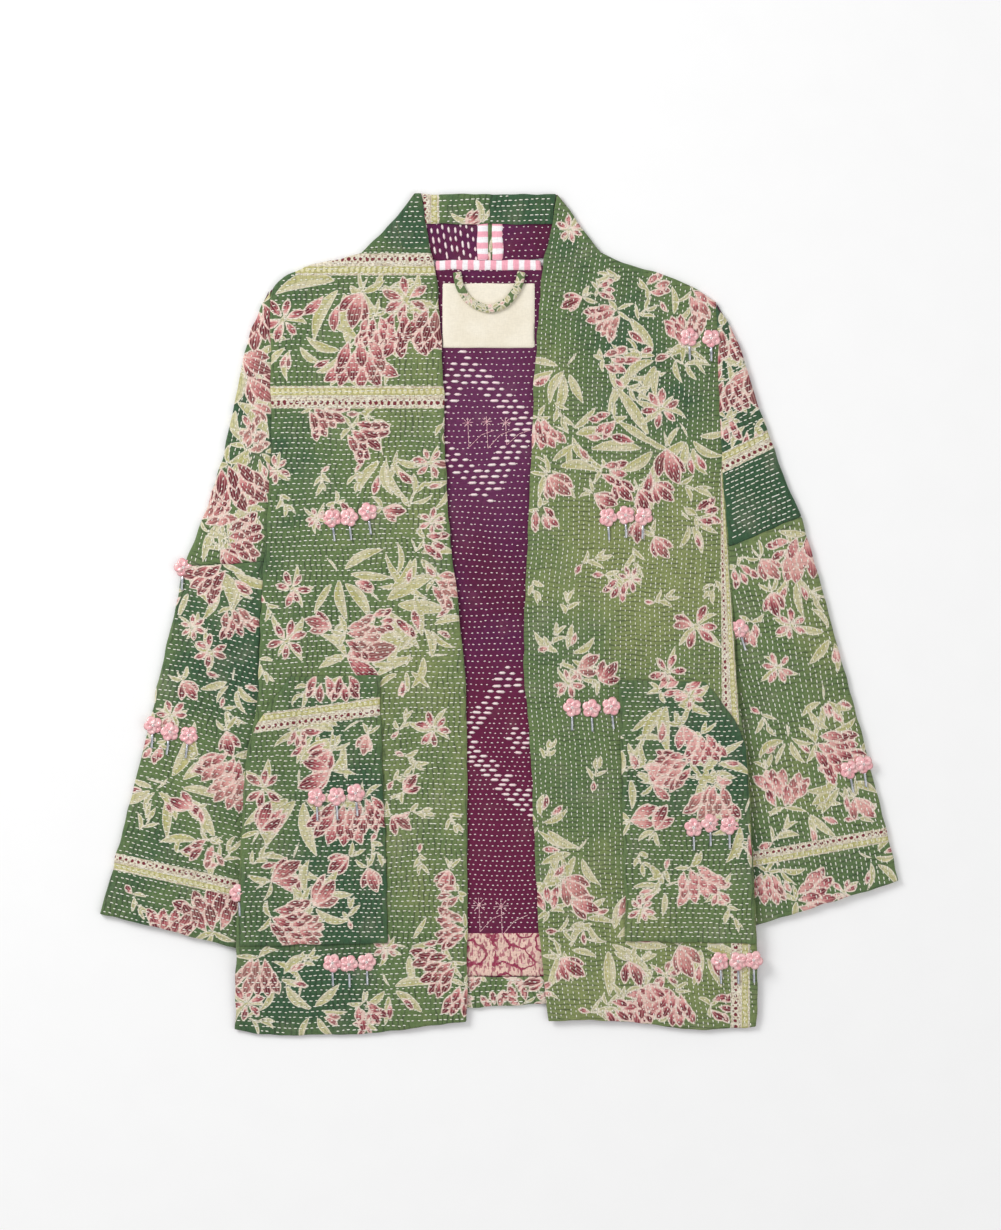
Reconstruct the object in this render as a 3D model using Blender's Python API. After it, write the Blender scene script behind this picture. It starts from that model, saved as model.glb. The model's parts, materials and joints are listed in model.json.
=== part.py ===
"""A quilted cotton kimono jacket with an open front, laid flat on its back.

Lengths are in millimetres until a mesh is made. +X is to the viewer's right, +Y runs from the hem
to the collar and +Z is up. The origin is under the middle of the jacket, on the surface that it
lies on. Right and left are the wearer's, so the right front is on the -X side.
"""
import math

import bmesh
import bpy
import numpy as np

MM = 0.001

# Cloth, trims and sewing
CLOTH = 2.0            # wall of the quilted cloth
TRIM = 1.0             # wall of the tapes and the label
TURNED = 1.2           # wall of the turned-up back hem
GAP = 0.3              # between pieces that are sewn together
STITCH_ROW = 5.0       # from one row of running stitches to the next
RIDGE = 0.4            # rise of the cloth between two rows
HALF_ROW = STITCH_ROW / 2
KEPT_STEP = 8          # on a wall's plain side, one row is kept of this many
RIDGE_ROOM = CLOTH + RIDGE + GAP

# The sleeves lie beside the body and slip under its side seams towards the cuffs
SLEEVE_EDGE = 2 * CLOTH + 0.8
SLEEVE_PUFF = 2.4
PUFF_REACH = 0.75      # share of a sleeve's width, from its outer fold, that is puffed
ARMHOLE_GAP = 0.6
SLEEVE_COLUMNS = 5
UPPER_PUFFS = (0.1, 0.6, 0.9)    # at the armhole, half way and at the seam
LOWER_PUFFS = (0.9, 1.0, 0.5)    # at the seam, half way and at the cuff
UNDER_BODY = SLEEVE_EDGE + RIDGE + GAP
TUCK = KEPT_STEP * HALF_ROW
TUCK_END = 2 * TUCK

# The body's sections, from just above the front hems to just below the shoulders:
# height, rise of the fronts' soft waves
BODY_SECTIONS = [
    (-358, 0.3), (-326, 0.6), (-309, 0.3), (-247, 0.5), (-185, 0.2), (-131, 0.0), (-107, 0.1),
    (-82, 0.2), (-60, 0.4), (-23, 0.9), (13, 1.2), (58, 0.2), (108, 1.1), (157, 0.3), (200, 0.8),
    (245, 0.4)]
UNDER_BODY_FROM = 13
UNDER_BODY_FULL = -60
CUFF_LEVEL = -309
BACK_HEM_TOP = -326
FRONT_HEM_FOLD = -358
HEM_DROOP = 0.2        # fall of the front hems, past the back's hem, for each millimetre
HEM_ROWS = 8
SHOULDER = 290
FULL_WIDTH = 170.0     # where a front is narrower, its lines along the side seam draw closer
LEFT_FRONT_ROWS = 58
CROSSING_STEPS = 20

# Side seams: height, right x, left x
SIDES = [
    (-374, -236.0, 231.5), (-356, -237.2, 232.7), (-300, -236.6, 232.2), (-212, -232.2, 227.7),
    (-131, -227.7, 224.1), (-111, -223.5, 220.7), (-82, -217.2, 215.3), (-23, -215.1, 212.0),
    (48, -212.0, 207.8), (103, -207.9, 204.2), (157, -206.1, 199.8), (238, -206.1, 198.0),
    (280, -206.8, 196.2), (292, -207.0, 196.2)]

# Front edges: height, right x, left x
OPENINGS = [
    (-366, -28.8, 45.0), (-325, -28.5, 39.6), (-244, -28.4, 33.3), (-172, -28.5, 30.6),
    (-100, -28.8, 27.0), (-46, -31.0, 21.6), (8, -36.8, 23.4), (98, -46.4, 27.0),
    (152, -48.6, 29.7), (224, -50.4, 31.5), (252, -52.2, 35.1), (310, -57.2, 38.2),
    (332, -62.0, 43.8), (353, -66.5, 48.7), (379, -70.5, 52.4)]

# Shoulders and outer edge of the collar, from the armhole up: x, height
RIGHT_SHOULDER = [
    (-207, 291.6), (-198, 300.6), (-190, 306.0), (-178, 311.4), (-156, 316.8), (-133, 322.2),
    (-121, 327.6), (-109, 338.4), (-93, 360.0), (-77, 379.4)]
LEFT_SHOULDER = [
    (52, 377.0), (56, 376.2), (69, 360.0), (83, 338.4), (92, 327.6), (98, 322.2), (108, 316.8),
    (125, 311.4), (147, 306.0), (161, 300.6), (183, 289.8), (196.2, 279.9)]

# Hems: x, height
RIGHT_HEM = [(-236, -374.0), (-215, -378.5), (-179, -379.6), (-107, -377.1), (-29, -366.3)]
LEFT_HEM = [(45, -366.3), (91, -365.4), (127, -368.1), (181, -374.4), (231.5, -371.0)]
BACK_HEM = [(-237, -356.4), (-26, -354.6), (41, -350.1), (233, -347.4)]

# Collar: it grows up from the fronts, folds back at the sides of the neck and joins behind it
COLLAR_FOLD = 325.0
COLLAR_MIDDLE = 350.0
COLLAR_TOP = 378.0
NECK_SEAM = 314.0
BACK_SEAM = -8.1
COLLAR_BACK_TOP = 376.3
FACING_DEPTH = 24.0
FOLD_REACH = 2.5       # how far the fold's round edge stands out
FOLD_SLIT = 0.5        # half the slit inside the fold
FOLD_START = 8.0
FOLD_OUT = np.array([0.8, 0.6])

# Sleeve sections, each from the outer fold to the inner one: outer x, outer y, inner x, inner y
RIGHT_UPPER = [
    (-207.9, 290.7, -211.2, 71.0), (-227.7, 246.6, -211.7, 66.0), (-238.5, 192.6, -212.1, 61.0),
    (-249.3, 138.6, -212.5, 56.0), (-266.4, 84.6, -212.9, 51.5), (-283.5, 43.2, -213.4, 47.0)]
RIGHT_LOWER = [
    (-283.5, 43.2, -213.4, 47.0), (-290.7, 5.4, -215.6, 12.6), (-302.4, -41.4, -217.2, -36.9),
    (-316.8, -108.9, -216.5, -108.9), (-331.2, -167.4, -215.6, -167.4),
    (-350.1, -239.4, -215.1, -248.4), (-359.1, -269.1, -215.1, -306.0)]
LEFT_UPPER = [
    (197.2, 279.2, 207.3, 74.0), (215.1, 246.6, 207.4, 71.5), (229.5, 201.6, 207.6, 69.0),
    (244.8, 156.6, 207.8, 66.5), (260.1, 114.3, 208.0, 64.0), (271.8, 88.2, 208.2, 61.0)]
LEFT_LOWER = [
    (271.8, 88.2, 208.2, 61.0), (278.1, 66.6, 209.6, 39.6), (293.4, 12.6, 213.2, -14.4),
    (313.2, -59.4, 215.6, -68.4), (332.1, -131.4, 214.6, -131.4), (351.0, -203.4, 213.3, -212.4),
    (359.1, -240.3, 212.4, -286.2)]

# Pockets, sewn into the side seams below a slanted corner: height, edge away from the front edge,
# edge near the front edge
RIGHT_POCKET = [
    (-296, -233.0, -100.0), (-212, -231.4, -102.0), (-131, -226.8, -105.2), (-107, -222.4, -105.8),
    (-55, -188.0, -107.0)]
LEFT_POCKET = [
    (-294, 231.0, 114.0), (-212, 226.8, 112.0), (-131, 223.2, 109.9), (-107, 219.4, 109.3),
    (-59.5, 185.5, 108.0)]
POCKET_SLANT = -107.0
POCKET_TILT = 0.02

# Trims inside the neck
NECK_TAPE = (-57.0, 37.6)
TAPE_WIDTH = 8.8
BACK_TAPES = {"cb_tape_right": (-19.4, -9.9), "cb_tape_left": (-6.1, 3.6)}
LABEL = {"left": -50.8, "right": 32.0, "top": 297.4, "bottom": 239.4}
LOOP_WIDTH = 8.0
LOOP_WALL = 3.2
LOOP_ROUTE = [
    (-37.8, 307.6), (-36.2, 298.0), (-30.0, 285.5), (-20.0, 277.5), (-9.0, 274.5), (3.0, 278.0),
    (12.6, 287.0), (18.4, 298.0), (20.3, 307.8)]

# The quilting shows inside the back between the fronts
BACK_QUILT = (-250, 226)
BACK_QUILT_COLUMNS = [(-60.0, 0.0), (-50.0, 1.0), (36.0, 1.0), (46.0, 0.0)]
BACK_MIDDLES = (-110.0, 95.0)

GREEN = (0.17, 0.25, 0.08)
DEEP_GREEN = (0.06, 0.16, 0.08)
PURPLE = (0.11, 0.02, 0.07)
PINK = (0.85, 0.55, 0.60)
CREAM = (0.86, 0.80, 0.68)


def curve(table, at, column=1):
    """A smooth curve through a table's rows that doesn't swing past them."""
    table = np.array(table, dtype=float)
    table = table[np.argsort(table[:, 0])]
    x = table[:, 0]
    y = table[:, column]
    rise = np.diff(y) / np.diff(x)
    low, high = rise[:-1], rise[1:]
    same_way = low * high > 0
    total = np.where(same_way, low + high, 1.0)
    slope = np.concatenate((rise[:1], np.where(same_way, 2 * low * high / total, 0.0), rise[-1:]))
    at = np.clip(at, x[0], x[-1])
    i = np.clip(np.searchsorted(x, at) - 1, 0, len(x) - 2)
    step = x[i + 1] - x[i]
    t = (at - x[i]) / step
    ends = y[i] * (1 + 2 * t) * (1 - t) ** 2 + y[i + 1] * t * t * (3 - 2 * t)
    return ends + step * (slope[i] * t * (1 - t) ** 2 + slope[i + 1] * t * t * (t - 1))


def soft_step(t):
    t = np.clip(t, 0.0, 1.0)
    return t * t * (3 - 2 * t)


def collar_share(height):
    """From 0 on the shoulder to 1 where the collar folds."""
    return soft_step((height - COLLAR_FOLD + FOLD_START) / (1.5 * FOLD_START))


def finer(knots, spacing):
    """Splits each interval into an even number of steps, and says where the knots went."""
    values = [knots[0]]
    places = [0]
    for low, high in zip(knots, knots[1:]):
        count = 2 * max(1, round(abs(high - low) / spacing / 2))
        values.extend(np.linspace(low, high, count + 1)[1:])
        places.append(len(values) - 1)
    return np.array(values), places


def side_x(wearer, height):
    return curve(SIDES, height, 1 if wearer == "right" else 2)


def opening_x(wearer, height):
    return curve(OPENINGS, height, 1 if wearer == "right" else 2)


def raised(x, y):
    """How far the body lies above the floor, over the sleeves that are tucked under its sides."""
    from_side = np.minimum(x - side_x("right", y), side_x("left", y) - x)
    along = np.interp(y, [BACK_HEM_TOP, CUFF_LEVEL, UNDER_BODY_FULL, UNDER_BODY_FROM], [0, 1, 1, 0])
    return UNDER_BODY * along * np.interp(from_side, [TUCK, TUCK_END], [1, 0])


def front_base(x, y):
    """Underside of the fronts, which lie on the back and droop past its hem."""
    heights, waves = np.array(BODY_SECTIONS).T
    from_side = np.minimum(x - side_x("right", y), side_x("left", y) - x)
    wave = np.interp(y, heights, waves, right=0.0) * np.interp(from_side, [TUCK, TUCK_END], [0, 1])
    over_hem = np.interp(y, [BACK_HEM_TOP, CUFF_LEVEL], [TURNED + GAP, 0])
    droop = HEM_DROOP * np.maximum(FRONT_HEM_FOLD - y, 0)
    return np.maximum(RIDGE_ROOM + raised(x, y) + wave + over_hem - droop, GAP)


def flat_grid(x, y, z):
    x, y, z = np.broadcast_arrays(x, y, z)
    return np.stack((x, y, z), axis=-1).astype(float)


def ridges(count):
    """Alternate rows: on a line of stitches, and between two lines."""
    return RIDGE * (np.arange(count) % 2)


class Wall:
    """A closed mesh, made of patches of points and of the strips that join their edges."""

    def __init__(self):
        self.points = []
        self.faces = []

    def patch(self, grid):
        """Adds a grid of points with its faces, and returns the points' numbers.

        Each face is split towards +X and +Y, so that layers split alike lie evenly on each other.
        """
        rows, columns = grid.shape[:2]
        numbers = len(self.points) + np.arange(rows * columns).reshape(rows, columns)
        self.points.extend(grid.reshape(-1, 3))
        for r, c in np.ndindex(rows - 1, columns - 1):
            ring = [numbers[r, c], numbers[r + 1, c], numbers[r + 1, c + 1], numbers[r, c + 1]]
            reach = [self.points[number][0] + self.points[number][1] for number in ring]
            start = int(np.argmax(reach)) % 2
            ring = ring[start:] + ring[:start]
            self.faces += [[ring[0], ring[1], ring[2]], [ring[0], ring[2], ring[3]]]
        return numbers

    def strip(self, first, second, first_marks=None, second_marks=None):
        """Fills between two lines of points, whose marks say which points lie side by side."""
        first_marks = range(len(first)) if first_marks is None else first_marks
        second_marks = first_marks if second_marks is None else second_marks
        first_marks = [*first_marks, math.inf]
        second_marks = [*second_marks, math.inf]
        i = j = 0
        while i < len(first) - 1 or j < len(second) - 1:
            step_i = first_marks[i + 1] <= second_marks[j + 1]
            step_j = second_marks[j + 1] <= first_marks[i + 1]
            face = [first[i]]
            if step_i:
                i += 1
                face.append(first[i])
            if step_j:
                face.append(second[j + 1])
            face.append(second[j])
            j += step_j
            self.faces.append(face)

    def sheet(self, outer, inner, kept_rows):
        """A wall between a fine outer grid and an inner one that keeps only some of its rows."""
        top = self.patch(outer)
        below = self.patch(inner)
        rows = range(len(top))
        for column in (0, -1):
            self.strip(top[:, column], below[:, column], rows, kept_rows)
        for row in (0, -1):
            self.strip(top[row], below[row])

    def build(self, name, colour, parent):
        mesh = bpy.data.meshes.new(name)
        shape = bmesh.new()
        corners = [shape.verts.new(point * MM) for point in self.points]
        for face in self.faces:
            shape.faces.new([corners[number] for number in face])
        bmesh.ops.recalc_face_normals(shape, faces=shape.faces[:])
        shape.to_mesh(mesh)
        shape.free()
        mesh.shade_smooth()
        mesh.set_sharp_from_angle(angle=math.radians(50))
        mesh.materials.append(cloth_material(name, colour))
        piece = bpy.data.objects.new(name, mesh)
        piece.parent = parent
        bpy.context.scene.collection.objects.link(piece)


def cloth_material(name, colour):
    material = bpy.data.materials.new(name)
    material.use_nodes = True
    shader = material.node_tree.nodes["Principled BSDF"]
    shader.inputs["Base Color"].default_value = (*colour, 1.0)
    shader.inputs["Roughness"].default_value = 0.85
    shader.inputs["Metallic"].default_value = 0.0
    return material


def collar_back(edge, heights, wearer, outer):
    """The collar's points from the fold at the side of the neck to the seam behind it."""
    away = FOLD_OUT * (-1 if wearer == "right" else 1, 1)
    middle = (RIDGE_ROOM + CLOTH) / 2
    out, half = (FOLD_REACH, middle) if outer else (FOLD_SLIT, middle - CLOTH)
    columns = []
    for angle in np.radians((45, 90, 135, 180)):
        plan = edge + away * out * math.sin(angle)
        columns.append(flat_grid(plan[:, 0], plan[:, 1], middle + half * math.cos(angle)))
    share = (heights - heights.min()) / np.ptp(heights)
    seam_x = BACK_SEAM + math.copysign(GAP / 2, away[0])
    seam = np.stack((np.full(len(share), seam_x),
                     NECK_SEAM + GAP + share * (COLLAR_BACK_TOP - NECK_SEAM - GAP)), axis=-1)
    for part in (0.35, 0.7, 1.0):
        plan = edge + (seam - edge) * part
        columns.append(flat_grid(plan[:, 0], plan[:, 1], middle - half))
    return np.stack(columns, axis=1)


def front(wearer, x, y, rises, kept, collar_row, parent):
    """A front with its half of the collar.

    The grid's rows run along the stitching, and its last column is the shoulder and the collar's
    fold. From collar_row on, the rows carry on round the fold to the seam behind the neck.
    """
    wall = Wall()
    base = front_base(x, y)
    rise = np.zeros(x.shape)
    rise[:, :-1] = rises[:, None]
    outer = flat_grid(x, y, base + CLOTH + rise)
    inner = flat_grid(x, y, base)
    edge = np.stack((x[collar_row:, -1], y[collar_row:, -1]), axis=-1)
    heights = y[collar_row:, -1]
    kept_collar = [row - collar_row for row in kept if row >= collar_row]
    top = wall.patch(outer)
    below = wall.patch(inner[kept])
    top_back = wall.patch(collar_back(edge, heights, wearer, True))
    below_back = wall.patch(collar_back(edge, heights, wearer, False)[kept_collar])
    rows = range(len(top))
    corner = kept.index(collar_row)
    wall.strip(top[:, 0], below[:, 0], rows, kept)
    wall.strip(top[:collar_row + 1, -1], below[:corner + 1, -1], rows[:collar_row + 1], kept[:corner + 1])
    wall.strip(top[collar_row:, -1], top_back[:, 0])
    wall.strip(below[corner:, -1], below_back[:, 0])
    wall.strip(top_back[:, -1], below_back[:, -1], range(len(top_back)), kept_collar)
    wall.strip(top[0], below[0])
    wall.strip([top[collar_row, -1], *top_back[0]], [below[corner, -1], *below_back[0]])
    wall.strip([*top[-1], *top_back[-1]], [*below[-1], *below_back[-1]])
    wall.build(f"front_{wearer}", GREEN, parent)


def right_front(parent):
    """Stitched across: the grid's rows run from the front edge to the side seam."""
    knots = [*[height for height, _ in BODY_SECTIONS], SHOULDER, COLLAR_FOLD, COLLAR_MIDDLE, COLLAR_TOP]
    heights, kept = finer(knots, HALF_ROW)
    levels = np.concatenate((np.full(HEM_ROWS, heights[0]), heights))
    kept = [0, *[place + HEM_ROWS for place in kept]]
    shoulder = [(height, x) for x, height in RIGHT_SHOULDER]
    edge = np.where(levels < shoulder[0][0], side_x("right", levels), curve(shoulder, levels))
    edge += FOLD_REACH / FOLD_OUT[0] * collar_share(levels)
    width = opening_x("right", levels) - edge
    scale = np.minimum(1.0, width / FULL_WIDTH)
    steps = [width, (width + TUCK_END * scale) / 2, TUCK_END * scale, TUCK * scale, 0 * width]
    x = edge[:, None] + np.stack(steps, axis=-1)
    y = np.repeat(levels[:, None], x.shape[1], axis=1)
    down = np.linspace(1, 0, HEM_ROWS + 1)[:, None]
    y[:HEM_ROWS + 1] += down * (curve(RIGHT_HEM, x[0]) - FRONT_HEM_FOLD)
    collar_row = HEM_ROWS + int(np.argmin(abs(heights - COLLAR_FOLD)))
    front("right", x, y, ridges(len(levels)), kept, collar_row, parent)


def left_column_x(height):
    """Where the left front's stitch rows cross a height, from the side seam to the front edge."""
    side = side_x("left", height)
    start = side - TUCK_END
    near = np.arange(0, TUCK_END + HALF_ROW / 2, HALF_ROW)
    far = np.linspace(0, 1, LEFT_FRONT_ROWS + 1)[1:]
    return np.concatenate((side - near, start + (opening_x("left", height) - start) * far))


def left_rows_at(heights):
    """Each stitch row's place at a height of its own."""
    return np.array([left_column_x(height)[k] for k, height in enumerate(heights)])


def left_crossing(line):
    """Where the left front's stitch rows meet a line given as a table of x and height."""
    height = np.full(len(left_column_x(0)), np.mean([row[1] for row in line]))
    for _ in range(CROSSING_STEPS):
        x = left_rows_at(height)
        height = curve(line, x)
    return x, height


def left_front(parent):
    """Stitched lengthwise: the grid's rows run from the hem to the shoulder."""
    body = [float(height) for height, _ in BODY_SECTIONS]
    hem_x, hem_y = left_crossing(LEFT_HEM)
    top_x, top_y = left_crossing(LEFT_SHOULDER)
    even = [np.full(len(hem_y), height) for height in body]
    upper = [body[-1] + (top_y - body[-1]) * part for part in (0.5, 0.8)]
    inset = FOLD_REACH * collar_share(top_y) * soft_step((top_x - top_x.min()) / FOLD_START)
    x = np.stack((hem_x, *map(left_rows_at, even + upper), top_x - FOLD_OUT[0] * inset), axis=-1)
    y = np.stack((hem_y, *even, *upper, top_y - FOLD_OUT[1] * inset), axis=-1)
    collar_row = int(np.argmax(y[:, -1] > COLLAR_FOLD))
    last = len(hem_y) - 1
    kept = sorted({*range(0, last, KEPT_STEP), collar_row, last})
    front("left", x, y, ridges(len(hem_y)), kept, collar_row, parent)


def back_edge(wearer, shoulder, levels):
    """The back's edge: its side seam, then its shoulder."""
    table = [(height, x) for x, height in shoulder]
    lowest = min(height for height, _ in table)
    return np.where(levels < lowest, side_x(wearer, levels), curve(table, levels))


def back(parent):
    """Flat underneath. Between the fronts its quilting shows on the inside, which is up."""
    body = [height for height, _ in BODY_SECTIONS if height > FRONT_HEM_FOLD]
    quilt_low, quilt_high = BACK_QUILT
    fine, kept = finer(sorted({*body, quilt_low, quilt_high, SHOULDER, NECK_SEAM - GAP}), HALF_ROW)
    levels = np.concatenate(([BACK_HEM[0][1]], fine))
    kept = [0, *[place + 1 for place in kept]]
    right = back_edge("right", RIGHT_SHOULDER, levels)
    left = back_edge("left", LEFT_SHOULDER, levels)
    quilt_x, quilt_share = np.array(BACK_QUILT_COLUMNS).T
    plain = np.ones(len(levels))
    right_lines = [right, right + TUCK, right + TUCK_END, BACK_MIDDLES[0] * plain]
    left_lines = [BACK_MIDDLES[1] * plain, left - TUCK_END, left - TUCK, left]
    x = np.stack([*right_lines, *[place * plain for place in quilt_x], *left_lines], axis=-1)
    y = np.repeat(levels[:, None], x.shape[1], axis=1)
    y[0] = curve(BACK_HEM, x[0])
    base = raised(x, y)
    top = base + CLOTH
    first = len(right_lines)
    last = first + len(quilt_x)
    shown = (levels > quilt_low) & (levels < quilt_high)
    top[:, first:last] += np.outer(np.where(shown, ridges(len(levels)), 0.0), quilt_share)
    grid = flat_grid(x, y, top)
    wall = Wall()
    under = wall.patch(flat_grid(x, y, base)[kept])
    right_part = wall.patch(grid[kept, :first])
    quilt = wall.patch(grid[:, first:last])
    left_part = wall.patch(grid[kept, last:])
    rows = range(len(levels))
    wall.strip(right_part[:, -1], quilt[:, 0], kept, rows)
    wall.strip(quilt[:, -1], left_part[:, 0], rows, kept)
    wall.strip(right_part[:, 0], under[:, 0])
    wall.strip(left_part[:, -1], under[:, -1])
    for row in (0, -1):
        wall.strip([*right_part[row], *quilt[row], *left_part[row]], under[row])
    wall.build("back", PURPLE, parent)


class Sleeve:
    """A length of flattened sleeve, open at both ends, stitched across or along it."""

    def __init__(self, table, across, armhole, puffs):
        table = np.array(table, dtype=float)
        steps = np.hypot(*np.diff(table[:, :2], axis=0).T)
        runs = np.concatenate(([0], np.cumsum(steps)))
        self.at, self.kept_rows = runs, [*range(len(runs))]
        if across:
            self.at, self.kept_rows = finer(list(runs), HALF_ROW)
        self.run = self.at / self.at[-1]
        edges = [curve(np.column_stack((runs, table[:, k])), self.at) for k in range(4)]
        self.outer_edge = np.stack(edges[:2], axis=-1)
        self.inner_edge = np.stack(edges[2:], axis=-1)
        self.width = np.hypot(*(self.inner_edge - self.outer_edge).T)
        self.armhole = armhole
        self.puff = np.interp(self.run, [0, 0.5, 1], puffs)
        self.set_columns(across)

    def set_columns(self, across):
        """The columns over the top, those kept inside the wall, and the quilting's rise."""
        if across:
            count = SLEEVE_COLUMNS
            kept = range(count)
            rise = np.repeat(ridges(len(self.at))[:, None], count, axis=1)
            rise *= np.minimum(1.0, np.gradient(self.at) / HALF_ROW)[:, None]
        else:
            count = 2 * round(self.width.mean() / STITCH_ROW) + 1
            kept = sorted({*range(0, count, KEPT_STEP), count - 1})
            rise = np.repeat(ridges(count)[None, :], len(self.at), axis=0)
        self.count, self.kept_columns, self.rise = count, [*kept], rise

    def placed(self, across_by, z):
        """Points at distances along each section. An armhole's end follows the side seam."""
        way = (self.inner_edge - self.outer_edge) / self.width[:, None]
        plan = self.outer_edge[:, None, :] + across_by[..., None] * way[:, None, :]
        x, y = plan[..., 0], plan[..., 1]
        if self.armhole:
            outward = -1 if self.armhole == "right" else 1
            end = np.array(sorted(plan[0, :, ::-1].tolist()))
            straight = np.interp(y, end[:, 0], end[:, 1])
            seam = side_x(self.armhole, y) + outward * ARMHOLE_GAP
            x = x + ((1 - self.run) ** 2)[:, None] * (seam - straight)
        return flat_grid(x, y, z)

    def over(self, wall):
        """The upper side of the outside, or of the inside at one wall's depth."""
        middle = SLEEVE_EDGE / 2
        share = np.linspace(0, 1, self.count)
        swell = np.outer(self.puff, np.sin(np.pi * np.minimum(share / PUFF_REACH, 1)))
        z = SLEEVE_EDGE - wall + SLEEVE_PUFF * swell + (0 if wall else self.rise)
        return self.placed(middle + np.outer(self.width - 2 * middle, share), z)

    def around(self, wall):
        """The rest of the way round: the inner fold, the flat underside and the outer fold."""
        middle = SLEEVE_EDGE / 2
        radius = middle - wall
        inner_fold = self.width - middle
        turn = [(inner_fold + radius * math.cos(angle), radius * math.sin(angle))
                for angle in np.radians((45, 0, -45, -90))]
        under = [(middle + (self.width - 2 * middle) * part, -radius) for part in (0.67, 0.33, 0)]
        back_up = [(middle + radius * math.cos(angle) + 0 * self.width, radius * math.sin(angle))
                   for angle in np.radians((-135, -180, -225))]
        columns = [*turn, *under, *back_up]
        across_by = np.stack([place for place, _ in columns], axis=-1)
        return self.placed(across_by, middle + np.array([[z for _, z in columns]]))

    def build(self, name, colour, parent):
        wall = Wall()
        top = wall.patch(self.over(0.0))
        rest = wall.patch(self.around(0.0)[self.kept_rows])
        inside = np.concatenate((self.over(CLOTH)[:, self.kept_columns], self.around(CLOTH)), axis=1)
        lining = wall.patch(inside[self.kept_rows])
        rows = range(len(top))
        wall.strip(top[:, -1], rest[:, 0], rows, self.kept_rows)
        wall.strip(rest[:, -1], top[:, 0], self.kept_rows, rows)
        wall.strip(lining[:, -1], lining[:, 0])
        marks = [*range(self.count + rest.shape[1] + 1)]
        lining_marks = [*self.kept_columns, *marks[self.count:]]
        for row in (0, -1):
            ring = [*top[row], *rest[row], top[row, 0]]
            wall.strip(ring, [*lining[row], lining[row, 0]], marks, lining_marks)
        wall.build(name, colour, parent)


def sleeves(parent):
    below_seam = np.array([0, -GAP, 0, -GAP])
    right_lower = [RIGHT_LOWER[0] + below_seam, *RIGHT_LOWER[1:]]
    left_lower = [LEFT_LOWER[0] + below_seam, *LEFT_LOWER[1:]]
    Sleeve(RIGHT_UPPER, False, "right", UPPER_PUFFS).build("sleeve_right_upper", GREEN, parent)
    Sleeve(right_lower, True, None, LOWER_PUFFS).build("sleeve_right_lower", GREEN, parent)
    Sleeve(LEFT_UPPER, True, "left", UPPER_PUFFS).build("sleeve_left_upper", DEEP_GREEN, parent)
    Sleeve(left_lower, False, None, LOWER_PUFFS).build("sleeve_left_lower", GREEN, parent)


def pocket(wearer, table, parent):
    """A patch pocket, stitched across, that lies on its front."""
    low, high = table[0][0], table[-1][0]
    body = [height for height, _ in BODY_SECTIONS if low < height < POCKET_SLANT]
    slant = np.linspace(POCKET_SLANT, high, 8)
    heights, kept = finer([low, *body, *slant], HALF_ROW)
    away = curve(table, heights, 1)
    near = curve(table, heights, 2)
    inward = 1 if wearer == "right" else -1
    from_side = inward * (away - side_x(wearer, heights))
    steps = [from_side, np.maximum(from_side + 3, TUCK), np.maximum(from_side + 6, TUCK_END)]
    x = np.stack([*[side_x(wearer, heights) + inward * step for step in steps], near], axis=-1)
    y = heights[:, None] - POCKET_TILT * (near[:, None] - x) * inward
    base = front_base(x, y) + RIDGE_ROOM
    rise = ridges(len(heights))[:, None]
    wall = Wall()
    wall.sheet(flat_grid(x, y, base + CLOTH + rise), flat_grid(x, y, base)[kept], kept)
    wall.build(f"pocket_{wearer}", GREEN, parent)


def strip_piece(name, x, low, high, base, thick, colour, parent):
    """A flat strip between two lines of heights, over the same columns or over columns for each."""
    y = np.stack((low, high))
    wall = Wall()
    wall.sheet(flat_grid(x, y, base + thick), flat_grid(x, y, base), [0, 1])
    wall.build(name, colour, parent)


def collar_facing(wearer, parent):
    """The collar's top hem, turned in behind the neck."""
    top = COLLAR_BACK_TOP
    low = top - FACING_DEPTH
    clear = 6 * GAP
    if wearer == "right":
        ends = [opening_x("right", np.array([low, top])) + clear, np.full(2, BACK_SEAM - GAP / 2)]
    else:
        ends = [np.full(2, BACK_SEAM + GAP / 2), opening_x("left", np.array([low, top])) - clear]
    share = np.linspace(0, 1, 5)
    x = ends[0][:, None] + (ends[1] - ends[0])[:, None] * share
    strip_piece(f"collar_facing_{wearer}", x, np.full(5, low), np.full(5, top), CLOTH + GAP, CLOTH,
                GREEN if wearer == "right" else DEEP_GREEN, parent)


def neck_trims(parent):
    on_cloth = CLOTH + GAP
    tape_x = np.linspace(*NECK_TAPE, 9)
    half = TAPE_WIDTH / 2
    strip_piece("neck_tape", tape_x, np.full(9, NECK_SEAM - half), np.full(9, NECK_SEAM + half),
                on_cloth, TRIM, PINK, parent)
    low = NECK_SEAM + half + GAP
    high = COLLAR_BACK_TOP - FACING_DEPTH - GAP
    for name, ends in BACK_TAPES.items():
        strip_piece(name, np.linspace(*ends, 3), np.full(3, low), np.full(3, high), on_cloth, TRIM,
                    PINK, parent)
    label_x = np.linspace(LABEL["left"], LABEL["right"], 5)
    strip_piece("label", label_x, np.full(5, LABEL["bottom"]), np.full(5, LABEL["top"]), on_cloth,
                TRIM, CREAM, parent)


def back_hem(parent):
    """The back's hem, turned up on the inside from one side seam to the other."""
    x = np.linspace(-233.0, 228.0, 13)
    strip_piece("back_hem", x, curve(BACK_HEM, x), np.full(13, BACK_HEM_TOP - GAP), CLOTH + GAP,
                TURNED, GREEN, parent)


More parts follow.
